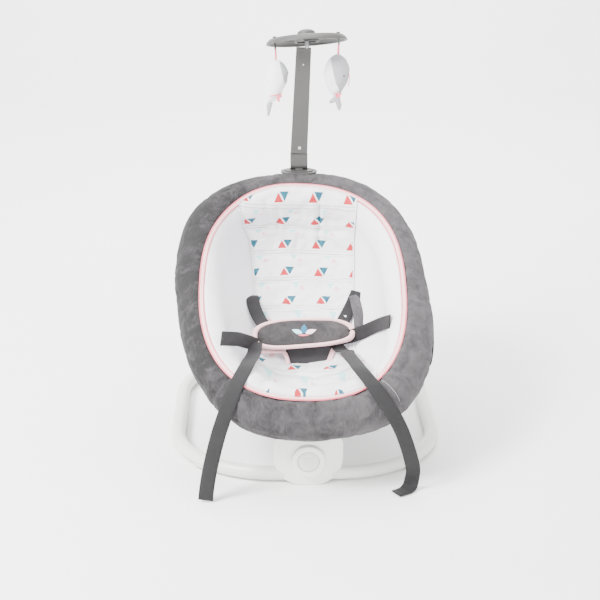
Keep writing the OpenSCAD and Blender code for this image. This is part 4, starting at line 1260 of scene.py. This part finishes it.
def build_socket_front():
    """The curved skin that closes the front of the fork over the tilt knuckle."""
    low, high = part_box("bar_socket")
    x, y, z = (low.x + high.x) / 2 / MM, (low.y + high.y) / 2 / MM, KNUCKLE_Z
    angles = np.linspace(math.radians(25), math.pi / 2, 12)
    sides = []
    for r in (11.2, 8.8):
        bend = [(y - r * math.sin(a), z - r * math.cos(a)) for a in angles]
        sides.append(bend + [(y - r, z + 5), (y - r, z + 11)])
    loop = sides[0] + sides[1][::-1]
    points = [(px * MM, py * MM, pz * MM) for px in np.linspace(x - 8.2, x + 8.2, 5) for py, pz in loop]
    obj = piece("socket_front", points, capped(5, len(loop)), plastic_grey, "toy_bar")
    smooth_by_angle(obj)


build_socket_front()
for material, names in BY_MATERIAL.items():
    for name in names:
        set_material(name, material)

# ======== Toys ========
# The mobile's hub and its sideways lean, its pegs, and the depth at which both toys hang
HUB = np.array([11.5, 202.5, 688]) * MM
HUB_LEAN = math.radians(-3.8)
TOY_Y = 201
PEG_X = {"left": -60, "right": 60}
# Rows of each body: height, middle across, half width
LEFT_BODY = [(580, -58, 2), (585, -56, 8), (595, -53, 14), (607, -49, 18), (622, -45, 20), (638, -43, 20),
             (650, -44, 16), (657, -46, 10), (661, -47, 3)]
RIGHT_BODY = [(591, 66, 3), (596, 66, 9), (606, 66, 16), (620, 67, 22), (636, 68, 25), (650, 69, 23),
              (661, 69, 17), (668, 69, 9), (672, 69, 2)]
# Outlines of the flat parts, across and up
LEFT_TAIL = [(-62, 584), (-56, 586), (-54, 578), (-57, 568), (-60, 556), (-64, 553), (-65, 562), (-66, 574)]
LEFT_FIN = [(-60, 622), (-57, 630), (-63, 636), (-67, 628), (-68, 616), (-64, 610)]
LEFT_BOW = [(-44, 594), (-38, 599), (-36, 594), (-41, 590), (-40, 583), (-45, 585), (-47, 591)]
RIGHT_TAIL = [(66, 594), (71, 594), (75, 586), (78, 574), (74, 563), (70, 567), (69, 578), (62, 583),
              (58, 581), (55, 578), (54, 583), (59, 588)]
BOW_KNOT, BOW_ENDS = (70, 597), [(-7.5, 1.25), (7.5, 1.25), (-4.375, -7.5), (4.375, -8.125)]


def peg_place(x):
    """Where a peg of the mobile is, in metres, x millimetres from the hub."""
    return HUB + MM * np.array([x * math.cos(HUB_LEAN), 0, -x * math.sin(HUB_LEAN)])


def stuffed(name, rows, squash_y, seed, n=48):
    """A stuffed body with soft lumps, a seam round its middle and puckered ends."""
    table = np.array(rows, float)
    heights = np.linspace(rows[0][0], rows[-1][0], 40)
    points = []
    for z in heights:
        cx, half = (np.interp(z, table[:, 0], table[:, k]) for k in (1, 2))
        for k in range(n):
            x, y = math.cos(TURN * k / n), math.sin(TURN * k / n)
            lump = 1.6 * noise.noise(Vector((x * 1.3 + seed, y * 1.3, z / 14.0)))
            seam = 0.9 * math.exp(-(y / 0.12) ** 2)
            r = max(half - seam + lump * min(1, half / 10), 0.4)
            points.append(((cx + r * x) * MM, (TOY_Y + r * squash_y * y) * MM, z * MM))
    body = name[:-len("_body")]
    obj = piece(name, points, capped(len(heights), n), velour_white, body)
    weld(obj)
    subdivision = obj.modifiers.new("Subdivision", "SUBSURF")
    subdivision.levels = subdivision.render_levels = 1
    apply_modifiers(obj)
    obj.data.polygons.foreach_set("use_smooth", [True] * len(obj.data.polygons))
    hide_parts(body)
    return obj


def two_tone(obj, edge):
    """The side of each toy away from the light is a greyer panel, with a curved joint."""
    obj.data.materials.append(velour_grey)
    for face in obj.data.polygons:
        x, z = face.center.x / MM, face.center.z / MM
        if x > edge + 9 * math.exp(-((z - 600) / 16) ** 2) - 4 * math.sin(z / 17):
            face.material_index = 1


def loop_thread(name, points, radius, material, body, flat=1.0, width_dir=(0, 1, 0)):
    """A ribbon or thread along a route."""
    path, _ = smooth_path(points, 1.2 * MM)
    across = np.tile(width_dir, (len(path), 1)).astype(float)
    points = sweep(path, across, ellipse_profile(radius, radius * flat, 12))
    piece(name, points, capped(len(path), 12), material, body)


def fin(name, outline, y, thick, material, body):
    """A flat stuffed fin, tail or bow from its outline."""
    outline = np.array(outline, float)
    n = len(outline)
    middle = outline.mean(0)
    points = []
    for side in (-1, 1):
        for g in (1.0, 0.93, 0.75, 0.45):
            for x, z in middle + (outline - middle) * g:
                h = thick / 2 * (1 - g ** 4) + 0.35
                ripple = 0.5 * noise.noise(Vector((x / 6, z / 6, 1.0)))
                points.append((x * MM, (y + side * h + ripple) * MM, z * MM))
    points += [(middle[0] * MM, (y + side * (thick / 2 + 0.35)) * MM, middle[1] * MM) for side in (-1, 1)]
    faces = grid_faces(4, n, round_columns=True) + fan(3 * n, n, 8 * n)
    faces += grid_faces(4, n, round_columns=True, start=4 * n, flip=True)
    faces += fan(7 * n, n, 8 * n + 1, flip=True)
    faces += [(k, 4 * n + k, 4 * n + (k + 1) % n, (k + 1) % n) for k in range(n)]
    weld(piece(name, points, faces, material, body))


def bead(name, x, y, z, r, material, body, rows=9, n=18):
    """A flattened bead, as an eye."""
    points = []
    for i in range(rows):
        t = math.pi * i / (rows - 1)
        for k in range(n):
            a = TURN * k / n
            points.append(((x + r * math.sin(t) * math.cos(a)) * MM, (y - 0.62 * r * math.cos(t)) * MM,
                           (z + r * math.sin(t) * math.sin(a)) * MM))
    weld(piece(name, points, grid_faces(rows, n, round_columns=True), material, body))


def ribbon(side, slack, drop, end_x, end_z, radius):
    """The ribbon that holds a toy, from its peg to the top of its body."""
    x, _, z = peg_place(PEG_X[side]) / MM
    route = [(x * MM, 0.2025, (z - 1) * MM), ((x + slack) * MM, 0.202, (z - drop) * MM),
             ((x + end_x) * MM, 0.202, end_z * MM)]
    loop_thread("toy_%s_ribbon" % side, route, radius * MM, ribbon_pink, "toy_" + side, 0.35, (1, 0, 0))


def build_left_toy():
    """A small body seen side on, with a thin tail below and a tie round its neck."""
    body = stuffed("toy_left_body", LEFT_BODY, 0.8, 2.0)
    fin("toy_left_tail", LEFT_TAIL, 200, 3.5, velour_grey, "toy_left")
    fin("toy_left_fin", LEFT_FIN, 198, 4, velour_white, "toy_left")
    ribbon("left", 0.8, 13, 0.6, 656, 1.9)
    ring = [((-50 + 13 * math.cos(a)) * MM, (TOY_Y + 12 * math.sin(a)) * MM, (596 + 3 * math.cos(a)) * MM)
            for a in np.linspace(0, TURN, 25)]
    loop_thread("toy_left_tie", ring, 1.1 * MM, thread_pink, "toy_left", width_dir=(0, 0, 1))
    fin("toy_left_bow", LEFT_BOW, 188.5, 2.2, thread_pink, "toy_left")
    bead("toy_left_eye", -62, 191.0, 622, 1.5, print_grey, "toy_left")
    two_tone(body, -37.0)


def build_right_toy():
    """A rounder body, with an eye, a stitched mouth, a bow and a split tail."""
    body = stuffed("toy_right_body", RIGHT_BODY, 0.82, 6.0)
    fin("toy_right_tail", RIGHT_TAIL, 199, 4.5, velour_grey, "toy_right")
    ribbon("right", -0.6, 12, -0.4, 666, 2.1)
    for k, (dx, dz) in enumerate(BOW_ENDS):
        end = (BOW_KNOT[0] + dx, BOW_KNOT[1] + dz)
        fin("toy_right_bow_%d" % k, leaf(BOW_KNOT, end, 0.34 if k < 2 else 0.22, 10), 187.5, 2.2, thread_pink,
            "toy_right")
    bead("toy_right_eye", 80.5, 184.5, 633, 2.0, plastic_black, "toy_right")
    mouth = [((89.5 + 2 * math.sin(3 * t)) * MM, (192 + 4 * abs(t - 0.5)) * MM, (612 + 26 * t) * MM)
             for t in np.linspace(0, 1, 7)]
    loop_thread("toy_right_mouth", mouth, 0.8 * MM, thread_pink, "toy_right")
    two_tone(body, 60.0)


build_left_toy()
build_right_toy()


# ======== Floor ========
def build_floor():
    """A level floor that curves up into a backdrop behind the seat."""
    wide, front, back, bend = 9, -9, 3.2, 1.6
    curve = np.linspace(0, math.pi / 2, 24)
    profile = [(front, 0)] + [(back + bend * math.sin(a), bend - bend * math.cos(a)) for a in curve]
    profile += [(back + bend, 6)]
    points = [(x, y, z) for y, z in profile for x in (-wide, wide)]
    mesh = bpy.data.meshes.new("studio_floor")
    mesh.from_pydata(points, [], grid_faces(len(profile), 2))
    mesh.polygons.foreach_set("use_smooth", [True] * len(mesh.polygons))
    s = Surface("studio_paper", 0.9)
    s.colour(s.ramp(s.noise(3, 3), (0.3, (0.90, 0.90, 0.895)), (0.7, (0.915, 0.915, 0.91))))
    s.bump(s.noise(500, 2), 0.0001, 0.3)
    mesh.materials.append(s.material)
    floor = bpy.data.objects.new("studio_floor", mesh)
    collection.objects.link(floor)


build_floor()
